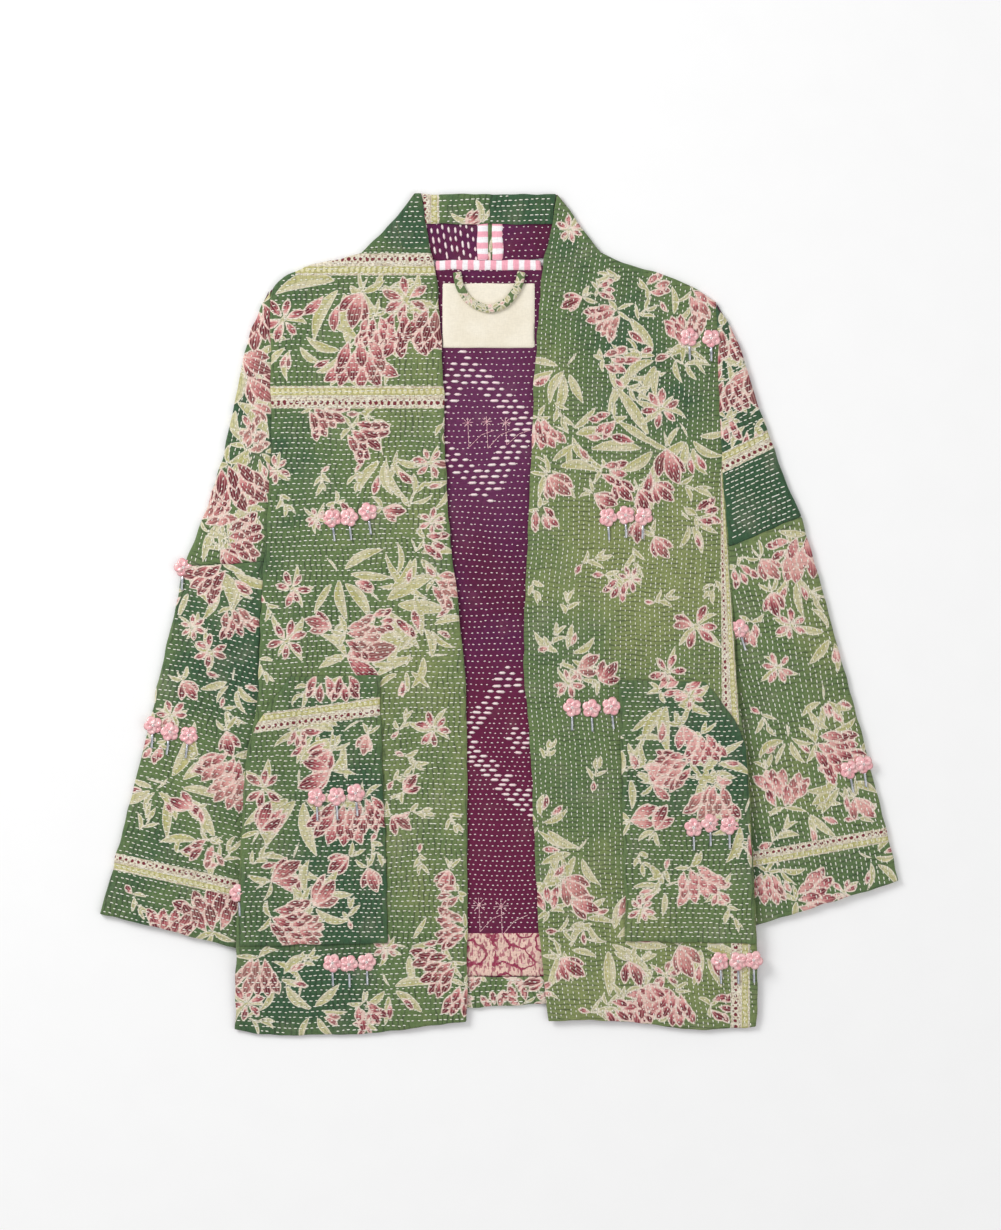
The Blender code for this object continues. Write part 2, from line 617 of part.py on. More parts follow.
def hanger_loop(parent):
    """A rouleau loop that comes out under the neck tape and lies on the label."""
    route = np.array(LOOP_ROUTE)
    run = np.concatenate(([0], np.cumsum(np.hypot(*np.diff(route, axis=0).T))))
    at = np.linspace(0, run[-1], 25)
    path = np.stack([curve(np.column_stack((run, route[:, k])), at) for k in (0, 1)], axis=-1)
    along = np.gradient(path, axis=0)
    along /= np.hypot(*along.T)[:, None]
    aside = np.stack((-along[:, 1], along[:, 0]), axis=-1)
    low = CLOTH + TRIM + 2 * GAP
    angles = np.linspace(0, 2 * math.pi, 10, endpoint=False)
    plan = path[:, None, :] + aside[:, None, :] * (LOOP_WIDTH / 2 * np.cos(angles))[None, :, None]
    z = low + LOOP_WALL / 2 * (1 + np.sin(angles))
    wall = Wall()
    tube = wall.patch(flat_grid(plan[..., 0], plan[..., 1], z[None, :]))
    wall.strip(tube[:, -1], tube[:, 0])
    wall.faces += [list(tube[0]), list(tube[-1])]
    wall.build("hanger_loop", GREEN, parent)


def main():
    for old in list(bpy.data.objects):
        bpy.data.objects.remove(old, do_unlink=True)
    jacket = bpy.data.objects.new("jacket", None)
    bpy.context.scene.collection.objects.link(jacket)
    back(jacket)
    right_front(jacket)
    left_front(jacket)
    sleeves(jacket)
    pocket("right", RIGHT_POCKET, jacket)
    pocket("left", LEFT_POCKET, jacket)
    collar_facing("right", jacket)
    collar_facing("left", jacket)
    neck_trims(jacket)
    back_hem(jacket)
    hanger_loop(jacket)


main()
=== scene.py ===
"""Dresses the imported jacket: quilted printed cloth, thread, trims, light and camera."""

import json
import math

import bpy
import numpy as np
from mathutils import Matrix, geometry
from mathutils.bvhtree import BVHTree

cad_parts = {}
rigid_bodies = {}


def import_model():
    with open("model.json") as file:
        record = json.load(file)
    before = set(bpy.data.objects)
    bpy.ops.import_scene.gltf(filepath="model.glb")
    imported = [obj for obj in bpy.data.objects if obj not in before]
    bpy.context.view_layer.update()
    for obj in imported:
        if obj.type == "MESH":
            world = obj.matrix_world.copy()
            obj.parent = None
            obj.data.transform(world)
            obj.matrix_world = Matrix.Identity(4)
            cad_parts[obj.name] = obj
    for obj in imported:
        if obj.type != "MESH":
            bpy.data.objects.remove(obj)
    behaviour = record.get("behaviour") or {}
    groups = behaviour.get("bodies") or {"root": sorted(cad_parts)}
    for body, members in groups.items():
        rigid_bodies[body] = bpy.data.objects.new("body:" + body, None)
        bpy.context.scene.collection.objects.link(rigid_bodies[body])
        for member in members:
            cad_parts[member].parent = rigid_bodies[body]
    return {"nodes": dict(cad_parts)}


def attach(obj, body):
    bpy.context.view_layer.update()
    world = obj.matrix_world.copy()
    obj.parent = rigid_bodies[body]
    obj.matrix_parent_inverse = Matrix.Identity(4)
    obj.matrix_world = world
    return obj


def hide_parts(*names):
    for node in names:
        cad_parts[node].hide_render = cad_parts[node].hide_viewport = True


# Lengths are in millimetres until a mesh takes them, which is in metres
MM = 0.001
FULL_TURN = 2 * math.pi

# The photo: its height in pixels, what a pixel measures, and the point under the camera
PHOTO_HIGH = 1230
PIXEL = 0.9
PHOTO_MIDDLE = (1.35, -0.9)

# Cloth: its wall, rolled and folded edges, uneven outline, and how far a sleeve goes under a front
WALL = 2.0
EDGE_ROLL = 2.6
EDGE_DROP = 0.8
RIM_DROP = 1.6
FOLD_LEVEL = 0.3
LEAST_LEVEL = 0.02
UNEVEN_EDGE = 0.6
LABEL_UNEVEN = 0.15
FACING_SPREAD = 1.5
TUCK = 1.6

# Quilting: rows, stitches, thread and how far the cloth puffs up between them
PITCH = 4.6
STITCH_EVERY = 4.9
DASH = 3.3
PATCH_DASH = 4.0
MARGIN = 2.4
THREAD_WIDE = 1.0
THREAD_RISE = 0.38
THREAD_LEAST = 0.52
RELIEF = 0.8
UNDER_RELIEF = 0.5
WOBBLE = 1.6

# Machine seams beside the fronts' inner edges
TURNED_EDGE = 27.0
SEAM_EVERY = 3.2
SEAM_DASH = 2.1
SEAM_WIDE = 0.6
SEAM_ENDS = (-340, 372)

# Spacing of mesh points on printed faces, on the underside and on plain far sides, and of outlines
FINE = 1.55
UNDER_FINE = 3.4
PLAIN_GRID = 14.0
LOOP_STEP = 3.0
LOOP_BLUR = 3.0
CORNER = math.radians(30)
MAP_STEP = 5.0
MAP_BLUR = 1.5

# The share of its rectangle that a piece fills: least, greatest, and once narrowed
LEAST_FILLED = 0.31
MOST_FILLED = 0.9
NARROWED_FILL = 0.32

# Where a collar's fold starts and how far in, and how high and how level a sleeve's open end is
COLLAR_FROM = 272
COLLAR_IN = 12
CUFF_HIGH = 60
CUFF_LEVEL = 0.8

# The lining's and the hem strip's ends, how far they go under the fronts, and the box of the collar's seam
LINING_ENDS = (-290, 318)
STRIP_ENDS = (-326, -284)
GAP_SPREAD = 12.0
CB_SEAM_BOX = (-11, 318, -5, 353)

# Diamonds inside the back: half of each of two sides, then x, y, hollow and heart as shares of a diamond
DIAMOND_SIDES = ((25.7, 37.8), (36.5, -33.3))
DIAMONDS = ((-21.6, 167.4, 0.57, 0.0), (18.0, -113.4, 0.65, 0.2))

# Stars worked on the lining: x, y, drop of the stem, arm
STARS = ((-28, 172, 22, 5), (-11, 173, 24, 5), (6, 172, 20, 5), (-18, -262, 24, 7), (2, -263, 26, 7))
STAR_TURNS = (5, 50, 95, 140)
STAR_STITCH = 4.0

# Beads: closed profiles of radius and height, and where they sit round and below a flower's middle
CUP = ((0.12, 0.1), (2.3, 0.25), (4.1, 0.8), (4.05, 0.6), (2.2, 0.0), (0.12, -0.1))
PEARL_BEAD = ((0.35, 0.9), (1.3, 0.6), (1.75, -0.2), (1.3, -1.0), (0.35, -1.2))
BUGLE_TUBE = ((0.35, 6.2), (0.95, 6.2), (1.1, 5.9), (1.1, -5.9), (0.95, -6.2), (0.35, -6.2))
CUP_COUNT = 5
CUP_OUT = 4.5
CUP_TILT = -0.16
BUGLE_DOWN = 14.5

# Triangles between a thread's corners, on the face and on the underside
PLUMP = (
    (0, 2, 3), (0, 3, 1), (0, 1, 2), (1, 3, 6), (1, 6, 4), (3, 2, 5), (3, 5, 6), (2, 1, 4), (2, 4, 5),
    (7, 6, 5), (7, 4, 6), (7, 5, 4))
LEAN = ((0, 2, 3), (0, 3, 1), (0, 1, 2), (4, 3, 2), (4, 1, 3), (4, 2, 1))

# Print values that each point carries, with beat, which places the painted shade in the stitch folds, and
# what they are where nothing is printed
FAR = 40.0
FIELDS = ("leaf", "rib", "petal", "line", "shade", "hatch", "band", "run", "tint", "beat")
BLANK = {name: 0.0 if name in ("tint", "beat") else FAR for name in FIELDS}

# Leaves and stems: least and greatest width, width and bend as shares of the length
LEAF_WIDTHS = (4.0, 12)
LEAF_SHARE = 0.24
LEAF_BEND = 0.16
STEM_WIDE = 2.2

# A peony's rows (start, petals, spread, reach), and twigs and leaves on a stem (start, turn, length)
PEONY_ROWS = ((0.42, 5, 1.0, 0.66), (0.22, 4, 0.8, 0.64), (0.02, 3, 0.55, 0.6))
SMALL_PEONY_ROWS = ((0.3, 3, 0.65, 0.7), (0.0, 2, 0.5, 0.7))
SMALL_PEONY = 25
TWIGS = ((0.35, 0.9, 0.5), (0.6, -0.7, 0.55))
SPRIG_LEAVES = ((0.0, 0.8, 0.55), (0.15, -0.75, 0.6), (0.4, 0.35, 0.6), (0.45, -0.2, 0.55))

# Sprays on what the photo hides, and sprigs on the hanger loop
SPRAY_SPACING = 44
HEM_SPACING = 22
LOOP_SPRIGS = 38
LOOP_SPRIG = 13

# The print's sprays as the photo spreads them: x, y of the foot, heading in degrees, size
SPRAYS = {
    "front_right": {
        "branch": ((-78, 98, 118, 50), (-64, 14, 132, 58), (-205, -312, -40, 40)),
        "fan": (
            (-140, 302, -125, 60), (-187, 246, -110, 32), (-138, 235, -130, 38), (-104, 142, -85, 44),
            (-145, 37, -50, 44), (-106, 10, -45, 54), (-67, -34, 175, 48), (-67, -10, -60, 32),
            (-84, -48, -110, 32), (-82, -300, -10, 34), (-199, -328, -30, 34), (-169, -356, -25, 34),
            (-98, -335, -65, 36), (-40, 120, -100, 30), (-75, 55, -70, 34)),
        "sprig": (
            (-112, 292, 15, 40), (-102, 243, -95, 38), (-125, 180, -25, 30), (-80, 96, 70, 30),
            (-197, 108, -70, 24), (-160, 128, -90, 22), (-130, 128, -80, 22), (-210, 10, -60, 28),
            (-216, -41, -65, 26), (-90, -105, 60, 24), (-85, -128, -30, 24), (-95, -150, 20, 24),
            (-80, -178, 0, 24), (-72, -215, -80, 22), (-227, -362, -20, 28), (-180, -315, 30, 22),
            (-45, -180, -60, 22), (-50, 175, -80, 24)),
        "tulip": (
            (-123, 289, -112, 34), (-137, -38, 0, 46), (-97, -182, -40, 22), (-150, -12, 160, 26),
            (-105, 95, -20, 22), (-86, -160, 40, 20), (-45, -230, -110, 22)),
        "peony": (
            (-87, 273, -85, 42), (-57, 275, -95, 36), (-112, 268, -85, 26), (-127, 247, -85, 42),
            (-167, 187, -45, 28), (-133, 167, -35, 30), (-147, 100, -70, 18), (-67, 67, -20, 22),
            (-58, 30, -30, 26), (-138, -18, -10, 28), (-113, -7, 5, 20), (-37, -250, -165, 20),
            (-30, -283, -175, 26), (-42, -312, -150, 32), (-31, -334, -95, 28), (-216, -309, -95, 32),
            (-122, -350, -60, 24)),
        "star": (
            (-83, 283, 30, 44), (-194, 265, -45, 42), (-62, 136, 60, 32), (-200, 130, 35, 26),
            (-164, 86, -130, 22), (-60, 83, 25, 26), (-186, 23, 55, 32), (-191, -24, 15, 36),
            (-59, -104, 110, 34), (-227, -350, 20, 34), (-102, -301, 30, 24), (-120, -368, 0, 26)),
    },
    "pocket_right": {
        "fan": (
            (-165, -106, -140, 38), (-140, -106, -148, 46), (-178, -160, -90, 54), (-185, -220, -110, 36),
            (-174, -262, 50, 40), (-183, -282, -10, 32)),
        "sprig": ((-170, -61, -120, 26), (-135, -275, 80, 22), (-115, -205, -60, 24), (-222, -225, 40, 22)),
        "tulip": (
            (-118, -108, -110, 20), (-151, -122, -135, 28), (-151, -141, -160, 34), (-135, -218, -150, 24),
            (-118, -228, -80, 24), (-215, -195, 60, 28), (-205, -240, 30, 32), (-167, -262, 40, 30)),
        "peony": (
            (-160, -55, -95, 24), (-140, -55, -85, 24), (-181, -104, -95, 16), (-140, -170, -110, 36),
            (-120, -165, -70, 30), (-205, -272, -20, 32), (-190, -285, -15, 28)),
        "star": ((-211, -157, 30, 38),),
    },
    "front_left": {
        "branch": ((98, 178, 50, 66), (52, -208, -118, 58), (150, 238, -20, 42)),
        "fan": (
            (158, 262, 30, 28), (145, 232, -150, 44), (60, 222, -128, 40), (63, 162, -25, 36),
            (44, 134, -30, 38), (143, 149, -175, 54), (170, 158, -60, 40), (173, 84, -45, 32),
            (70, -213, -130, 38), (75, -273, -30, 30), (57, -300, -35, 38), (98, -294, -10, 54),
            (182, -298, -65, 42), (60, -40, 60, 30), (36, -190, 55, 34)),
        "sprig": (
            (154, 232, -30, 36), (128, 235, 170, 28), (125, 265, 50, 24), (110, 305, 180, 24),
            (113, 204, -15, 28), (50, 190, -60, 30), (162, 117, -20, 34), (120, 60, -80, 30),
            (75, 45, 20, 28), (95, 35, -30, 28), (60, 0, 80, 24), (45, -30, 60, 26), (53, -285, 10, 28),
            (82, -358, 0, 28), (120, -320, 40, 26), (30, 30, -80, 22), (85, -150, 70, 24),
            (140, 10, 20, 24), (40, -130, 60, 22), (195, 30, -110, 22)),
        "tulip": (
            (75, 285, 200, 22), (44, 125, -45, 28), (151, 149, -80, 34), (105, 120, -60, 24),
            (125, 112, -70, 24), (140, 118, -50, 24), (85, 108, -30, 24), (140, 70, -60, 24),
            (57, -238, -45, 32), (64, -258, -25, 28), (55, -309, -40, 28), (162, -298, -70, 32),
            (70, -50, 20, 24), (90, -60, 40, 24), (125, 85, -100, 22), (116, -312, -75, 26)),
        "peony": (
            (89, 292, 0, 16), (106, 273, -140, 26), (134, 293, 20, 20), (174, 292, -40, 30),
            (169, 242, 95, 26), (94, 229, 0, 22), (103, 177, -145, 22), (35, 177, -85, 28),
            (93, 130, -10, 22), (178, 89, 15, 22), (110, 30, -120, 18), (45, -267, 100, 22),
            (111, -348, -20, 30), (191, -352, -10, 22), (152, -362, 65, 18), (36, 95, -70, 22),
            (130, -336, -60, 30), (158, -340, -100, 28), (98, -352, -35, 24)),
        "star": (
            (64, 346, 40, 26), (146, 184, 5, 36), (177, -11, 15, 42), (152, -52, 125, 34), (118, 32, 0, 24),
            (62, -62, 100, 28), (36, -340, 60, 26), (150, -325, 20, 28)),
    },
    "pocket_left": {
        "fan": (
            (150, -78, -55, 46), (113, -112, -25, 36), (118, -140, -8, 30), (189, -132, -40, 34),
            (180, -148, -20, 36), (221, -179, -112, 50), (150, -245, 200, 30)),
        "sprig": ((218, -204, -65, 28), (150, -230, -120, 26), (205, -262, -60, 26), (125, -215, -70, 22)),
        "tulip": (
            (133, -135, -35, 30), (138, -153, -10, 26), (118, -186, 20, 28), (140, -195, 60, 26),
            (165, -100, -70, 28)),
        "peony": (
            (145, -70, 30, 20), (171, -133, -160, 28), (194, -153, -95, 32), (172, -228, -65, 30),
            (182, -108, -80, 26)),
        "star": ((172, -74, -35, 28), (196, -248, 10, 30), (128, -265, 40, 26)),
    },
    "sleeve_right_upper": {
        "fan": ((-230, 225, -45, 44), (-239, 195, -75, 46), (-216, 146, -65, 30), (-247, 90, -30, 44)),
        "tulip": ((-232, 232, -35, 32), (-226, 213, -50, 32), (-250, 58, -45, 26)),
        "peony": (
            (-213, 280, -75, 40), (-228, 150, 40, 22), (-243, 135, -70, 42), (-245, 68, 0, 30),
            (-268, 84, 40, 28)),
        "star": ((-222, 165, 60, 30),),
    },
    "sleeve_right_lower": {
        "fan": (
            (-252, 42, -40, 46), (-277, 25, -75, 34), (-310, -85, 160, 26), (-297, -153, -15, 54),
            (-308, -157, -135, 32), (-262, -203, -165, 34), (-240, -60, -100, 30)),
        "sprig": (
            (-323, -195, 55, 28), (-252, -225, 50, 32), (-330, -252, -60, 26), (-250, -85, -40, 26),
            (-290, -215, 20, 24)),
        "tulip": (
            (-285, -60, -60, 22), (-270, -130, -30, 26), (-245, -105, -80, 24), (-275, -175, 150, 24)),
        "peony": (
            (-249, 45, -145, 34), (-238, -128, -120, 32), (-231, -146, -115, 30), (-308, -115, -125, 20),
            (-260, -205, -130, 24), (-257, -286, 97, 40), (-300, -298, 76, 32), (-240, 5, -70, 26)),
        "star": ((-260, -33, -35, 32), (-276, -12, 30, 24), (-295, -91, -15, 30)),
    },
    "sleeve_left_upper": {
        "fan": ((226, 178, -135, 36), (205, 235, -60, 34)),
        "sprig": ((238, 180, -70, 26),),
        "tulip": ((221, 222, -75, 40), (227, 219, -65, 28)),
        "peony": ((201, 258, -70, 32), (206, 210, -90, 28), (204, 176, -85, 22)),
    },
    "sleeve_left_lower": {
        "fan": (
            (265, 39, -110, 36), (301, -18, -150, 32), (292, -77, -85, 32), (299, -106, 50, 32),
            (260, -111, -80, 30), (277, -178, -10, 36), (251, -229, -70, 30), (335, -219, -25, 30),
            (310, -150, -100, 32)),
        "sprig": (
            (246, -206, 48, 34), (330, -110, -70, 28), (280, 20, -20, 28), (235, -90, -60, 26),
            (320, -185, 30, 24)),
        "tulip": (
            (235, 50, -50, 26), (320, -165, -60, 26), (312, -126, -30, 24), (245, 20, -80, 24),
            (240, -140, -70, 24)),
        "peony": (
            (264, 62, -145, 24), (277, 72, -80, 40), (214, 43, -60, 20), (285, -116, -25, 34),
            (256, -174, 90, 32), (241, -233, -95, 26), (268, -258, 10, 34), (226, -7, -105, 22)),
        "star": ((263, -10, 25, 30), (251, -48, -65, 30), (310, -250, 20, 28)),
    },
    "collar_facing_right": {
        "fan": ((-16, 350, 128, 26),),
        "tulip": ((-30, 350, 40, 18),),
    },
}

# Border bands, maroon dots on the right: x, y at one end, x, y at the other, width, far width if it differs
BANDS = {
    "front_right": ((-50, 314.5, -178, 314.5, 19.5), (-212, 195, -50, 195, 20)),
    "pocket_right": ((-226, -99.6, -102, -82.2, 16),),
    "front_left": ((200, 125, 208, -94, 2, 15), (217, -297, 217, -376, 17)),
    "sleeve_right_lower": ((-226, -249, -352, -221, 15),),
    "sleeve_left_upper": ((196, 133.5, 252, 161, 16.6),),
    "sleeve_left_lower": ((358, -197, 226, -221, 13),),
    "collar_facing_right": ((-62.5, 378, -62.5, 350, 17),),
}

# How the ground colour drifts, from -1 olive to 1 deep green: a base, then x, y, reach, amount of spots
TINTS = {
    "front_right": (0.0, (
        (-85, 350, 40, 0.9), (-180, 290, 60, 0.5), (-90, 220, 60, -0.5), (-190, 150, 50, 0.7),
        (-110, 90, 80, -0.35), (-190, 40, 70, 0.45), (-60, -60, 60, -0.4), (-80, -200, 70, -0.3),
        (-190, -345, 70, 0.8), (-125, -325, 50, 0.5), (-60, -330, 60, -0.2))),
    "front_left": (-0.25, (
        (70, 320, 70, 0.65), (60, 220, 50, -0.1), (150, 195, 55, 1.1), (110, 255, 45, 0.6),
        (160, 60, 80, -0.4), (110, 10, 70, -0.5), (50, -30, 45, 0.6), (60, -130, 80, 0.4),
        (80, -330, 80, -0.4), (190, -340, 60, -0.2))),
    "pocket_right": (0.4, (
        (-160, -90, 25, 0.5), (-125, -165, 40, 0.6), (-140, -270, 70, 0.5), (-210, -130, 60, -0.2))),
    "pocket_left": (0.4, ((210, -130, 60, 0.6), (130, -280, 60, -0.5), (190, -260, 60, -0.2))),
    "sleeve_right_upper": (0.35, ((-230, 180, 50, 0.5), (-270, 90, 50, -0.4))),
    "sleeve_right_lower": (0.35, ((-225, -40, 60, 0.7), (-290, -120, 70, -0.2), (-300, -250, 60, 0.2))),
    "sleeve_left_upper": (0.8, ((225, 105, 60, 0.5),)),
    "sleeve_left_lower": (-0.1, (
        (230, -60, 60, 0.35), (290, 0, 60, -0.3), (300, -130, 60, -0.3), (240, -240, 50, 0.7),
        (320, -230, 60, 0.3))),
    "collar_facing_right": (0.4, ()),
    "collar_facing_left": (0.8, ()),
    "back_hem": (0.0, ()),
    "back": (0.0, ((-10, 190, 70, 1.0), (-10, 110, 60, 0.5), (20, -110, 90, -0.8), (0, -230, 100, -1.0))),
}

# How much paler than elsewhere the petals are on some panels
FADED = {"sleeve_left_lower": 0.25, "pocket_left": 0.25, "front_left": 0.08}

# Soft troughs and ridges: x, y at one end, x, y at the other, half width, height
CREASES = {
    "front_right": (
        (-205, 255, -120, 160, 11, 0.9), (-200, 120, -110, 60, 12, -0.8), (-230, -20, -90, 40, 14, 0.8),
        (-60, 180, -75, -40, 10, 0.6), (-85, -60, -60, -240, 12, -0.6), (-200, -320, -70, -350, 13, 0.9),
        (-110, 330, -60, 300, 9, 0.7)),
    "front_left": (
        (195, 240, 110, 130, 12, 0.9), (205, 60, 110, 20, 13, -0.7), (60, 200, 75, -20, 11, 0.7),
        (85, -60, 70, -250, 12, 0.6), (190, -320, 60, -345, 14, 0.9), (120, 300, 70, 330, 9, 0.6),
        (40, -330, 110, -372, 12, 0.8)),
    "sleeve_right_lower": (
        (-225, 20, -300, -90, 10, 0.9), (-232, -60, -320, -170, 12, -0.8),
        (-240, -180, -335, -240, 12, 0.8)),
    "sleeve_left_lower": (
        (225, 30, 290, -80, 10, 0.9), (235, -50, 320, -160, 12, -0.8), (245, -170, 340, -225, 12, 0.8)),
    "sleeve_right_upper": ((-215, 240, -262, 130, 9, 0.7), (-215, 120, -270, 70, 9, -0.6)),
    "sleeve_left_upper": ((205, 240, 245, 140, 9, 0.7), (205, 110, 262, 90, 9, -0.6)),
    "pocket_right": ((-225, -150, -120, -120, 12, 0.6), (-220, -260, -130, -230, 12, -0.5)),
    "pocket_left": ((120, -110, 215, -150, 12, 0.6), (125, -240, 215, -265, 12, -0.5)),
    "back": ((-40, 180, 20, 90, 12, 0.5), (30, 20, -30, -90, 12, -0.5), (-20, -180, 25, -260, 12, 0.5)),
}

# Flower sequins: x and y of the middle, and how far the bead below leans in degrees
FLOWERS = (
    (-150, 86, 6), (-135, 87, 6), (-118, 92, 8), (-311, -100, -4), (-296, -106, -8), (-279, -109, -8),
    (-164, -165, 2), (-146, -164, 2), (-129, -161, 5), (-150, -314, 2), (-135, -315, 2), (-119, -313, 2),
    (-284, 42, -4), (-234, -251, 3), (171, 249, 2), (191, 248, 0), (98, 87, 3), (114, 89, 1), (130, 88, -3),
    (66, -84, -1), (83, -85, 3), (101, -83, 6), (175, -192, 1), (190, -188, 1), (207, -190, 1),
    (199, -312, 2), (215, -312, 1), (229, -311, 1), (315, -140, 10), (328, -135, 6), (216, -13, 16))


# Arithmetic

def srgb(red, green, blue):
    """A colour as a screen gives it, 0 to 255, in the linear values that shaders take."""
    def linear(value):
        share = value / 255
        return share / 12.92 if share <= 0.04045 else ((share + 0.055) / 1.055) ** 2.4
    return linear(red), linear(green), linear(blue), 1.0


def waves(seed, shortest, longest):
    """A smooth uneven field of about -1 to 1 over x and y, the same at each run."""
    count = 7
    rng = np.random.default_rng(seed)
    length = np.exp(rng.uniform(math.log(shortest), math.log(longest), count))
    turn, phase = rng.uniform(0, FULL_TURN, (2, count))
    across, up = FULL_TURN * np.cos(turn) / length, FULL_TURN * np.sin(turn) / length

    def field(x, y):
        total = 0
        for i in range(count):
            total = total + np.sin(across[i] * x + up[i] * y + phase[i])
        return total / (1.3 * math.sqrt(count))
    return field


EDGE_WAVES = waves(2, 16, 60), waves(3, 16, 60)


def blurred(values, reach):
    """A table of numbers smoothed along its first axis, its ends held."""
    half = int(3 * reach)
    kernel = np.exp(-0.5 * (np.arange(-half, half + 1) / reach) ** 2)
    kernel /= kernel.sum()
    head = 2 * values[:1] - values[1:half + 1][::-1]
    tail = 2 * values[-1:] - values[-half - 1:-1][::-1]
    padded = np.concatenate([head, values, tail])
    flat = padded.reshape(len(padded), -1)
    columns = [np.convolve(flat[:, i], kernel, "valid") for i in range(flat.shape[1])]
    return np.stack(columns, 1).reshape(values.shape)


def beyond(x, y, way, reach):
    """The point at a reach from another in a direction."""
    return x + reach * math.cos(way), y + reach * math.sin(way)


def walker(path):
    """A path's length, and a function that gives the points at some lengths along it."""
    length = np.concatenate([[0], np.cumsum(np.hypot(*np.diff(path, axis=0).T))])
    return length[-1], lambda places: np.stack([np.interp(places, length, path[:, i]) for i in (0, 1)], 1)


def to_segment(x, y, a, b):
    """How far points are from the line from a to b, and their share of the way along it."""
    dx, dy = b[0] - a[0], b[1] - a[1]
    share = np.clip(((x - a[0]) * dx + (y - a[1]) * dy) / max(dx * dx + dy * dy, 1e-9), 0, 1)
    return np.hypot(x - a[0] - share * dx, y - a[1] - share * dy), share


def to_loop(loop, x, y):
    """How far points are from a closed outline, and which are inside it."""
    gap = np.full(np.shape(x), 1e9)
    inside = np.zeros(np.shape(x), bool)
    for a, b in zip(loop, np.roll(loop, -1, 0)):
        gap = np.minimum(gap, to_segment(x, y, a, b)[0])
        if a[1] != b[1]:
            crossing = a[0] + (y - a[1]) * (b[0] - a[0]) / (b[1] - a[1])
            inside ^= ((a[1] > y) != (b[1] > y)) & (x < crossing)
    return gap, inside


def plan_area(loop):
    x, y = loop.T
    return 0.5 * (np.dot(x, np.roll(y, -1)) - np.dot(y, np.roll(x, -1)))


# Outlines and heights from the frame

def smooth_loop(loop, uneven=UNEVEN_EDGE):
    """An outline with even points. Its corners stay, and the runs between them lose their chords."""
    ahead = np.roll(loop, -1, 0) - loop
    heading = np.arctan2(ahead[:, 1], ahead[:, 0])
    turn = np.angle(np.exp(1j * (heading - np.roll(heading, 1))))
    corners = np.flatnonzero(np.abs(turn) > CORNER)
    if not len(corners):
        corners = np.array([0])
    runs = []
    for first, last in zip(corners, np.roll(corners, -1)):
        count = (last - first) % len(loop) or len(loop)
        length, at = walker(loop[(first + np.arange(count + 1)) % len(loop)])
        fine = at(np.linspace(0, length, max(2, round(length / LOOP_STEP) + 1)))
        reach = min(LOOP_BLUR, (len(fine) - 1) / 6)
        runs.append((blurred(fine, reach) if reach >= 1 else fine)[:-1])
    smooth = np.concatenate(runs)
    return smooth + uneven * np.stack([wave(*smooth.T) for wave in EDGE_WAVES], 1)


def open_rings(triangles):
    """The rings of open edges round some triangles, each as a list of points in order."""
    edges = np.concatenate([triangles[:, [0, 1]], triangles[:, [1, 2]], triangles[:, [2, 0]]])
    pairs = set(map(tuple, edges.tolist()))
    follow = {}
    for a, b in sorted(pairs):
        if (b, a) not in pairs:
            follow.setdefault(a, []).append(b)
    rings = []
    while follow:
        ring = [next(iter(follow))]
        while ring[-1] in follow:
            ahead = follow[ring[-1]].pop()
            if not follow[ring[-1]]:
                del follow[ring[-1]]
            if ahead in ring:
                start = ring.index(ahead)
                rings.append(ring[start:])
                ring = ring[:start + 1]
            else:
                ring.append(ahead)
    return rings


def spread_out(table):
    """A table whose unknown cells take the mean of the known ones beside them, until none is unknown."""
    while np.isnan(table).any():
        wide = np.pad(table, 1, constant_values=np.nan)
        near = np.stack([wide[:-2, 1:-1], wide[2:, 1:-1], wide[1:-1, :-2], wide[1:-1, 2:]])
        known = ~np.isnan(near)
        mean = np.where(known, near, 0).sum(0) / np.maximum(known.sum(0), 1)
        table = np.where(np.isnan(table) & known.any(0), mean, table)
    return table


def height_map(points, faces, side):
    """A smooth height over x and y from a layer's faces, also a little outside them."""
    step = MAP_STEP
    low, high = points[:, :2].min(0) - 3 * step, points[:, :2].max(0) + 3 * step
    xs, ys = (np.arange(low[i], high[i] + step, step) for i in (0, 1))
    tree = BVHTree.FromPolygons(points.tolist(), faces.tolist())
    table = np.full((len(ys), len(xs)), np.nan)
    for j, y in enumerate(ys):
        for i, x in enumerate(xs):
            hit = tree.ray_cast((x, y, side * 100.0), (0, 0, -side))[0]
            if hit:
                table[j, i] = hit.z
    table = blurred(blurred(spread_out(table), MAP_BLUR).T, MAP_BLUR).T

    def height(x, y):
        u = np.clip((x - low[0]) / step, 0, len(xs) - 1.001)
        v = np.clip((y - low[1]) / step, 0, len(ys) - 1.001)
        i, j = u.astype(int), v.astype(int)
        u, v = u - i, v - j
        return ((table[j, i] * (1 - u) + table[j, i + 1] * u) * (1 - v)
                + (table[j + 1, i] * (1 - u) + table[j + 1, i + 1] * u) * v)
    return height


class Layer:
    """One side of a CAD node that faces up or down: its outline in plan, and its height anywhere."""

    def __init__(self, points, faces, side):
        used, faces = np.unique(faces, return_inverse=True)
        points, faces = points[used], faces.reshape(-1, 3)
        rings = open_rings(faces if side > 0 else faces[:, ::-1])
        self.side = side
        self.raw = max((points[ring, :2] for ring in rings), key=plan_area)
        self.loop = smooth_loop(self.raw)
        self.height = height_map(points, faces, side)


def mesh_points(mesh):
    points = np.empty(3 * len(mesh.vertices), np.float32)
    mesh.vertices.foreach_get("co", points)
    return points.reshape(-1, 3) / MM


def grouped(faces, count):
    """For each of a count of points, the least point that faces join it to."""
    group = np.arange(count)
    before = None
    while before is None or (group != before).any():
        before = group.copy()
        for corner in range(3):
            np.minimum.at(group, faces[:, corner], before[faces].min(1))
    return group


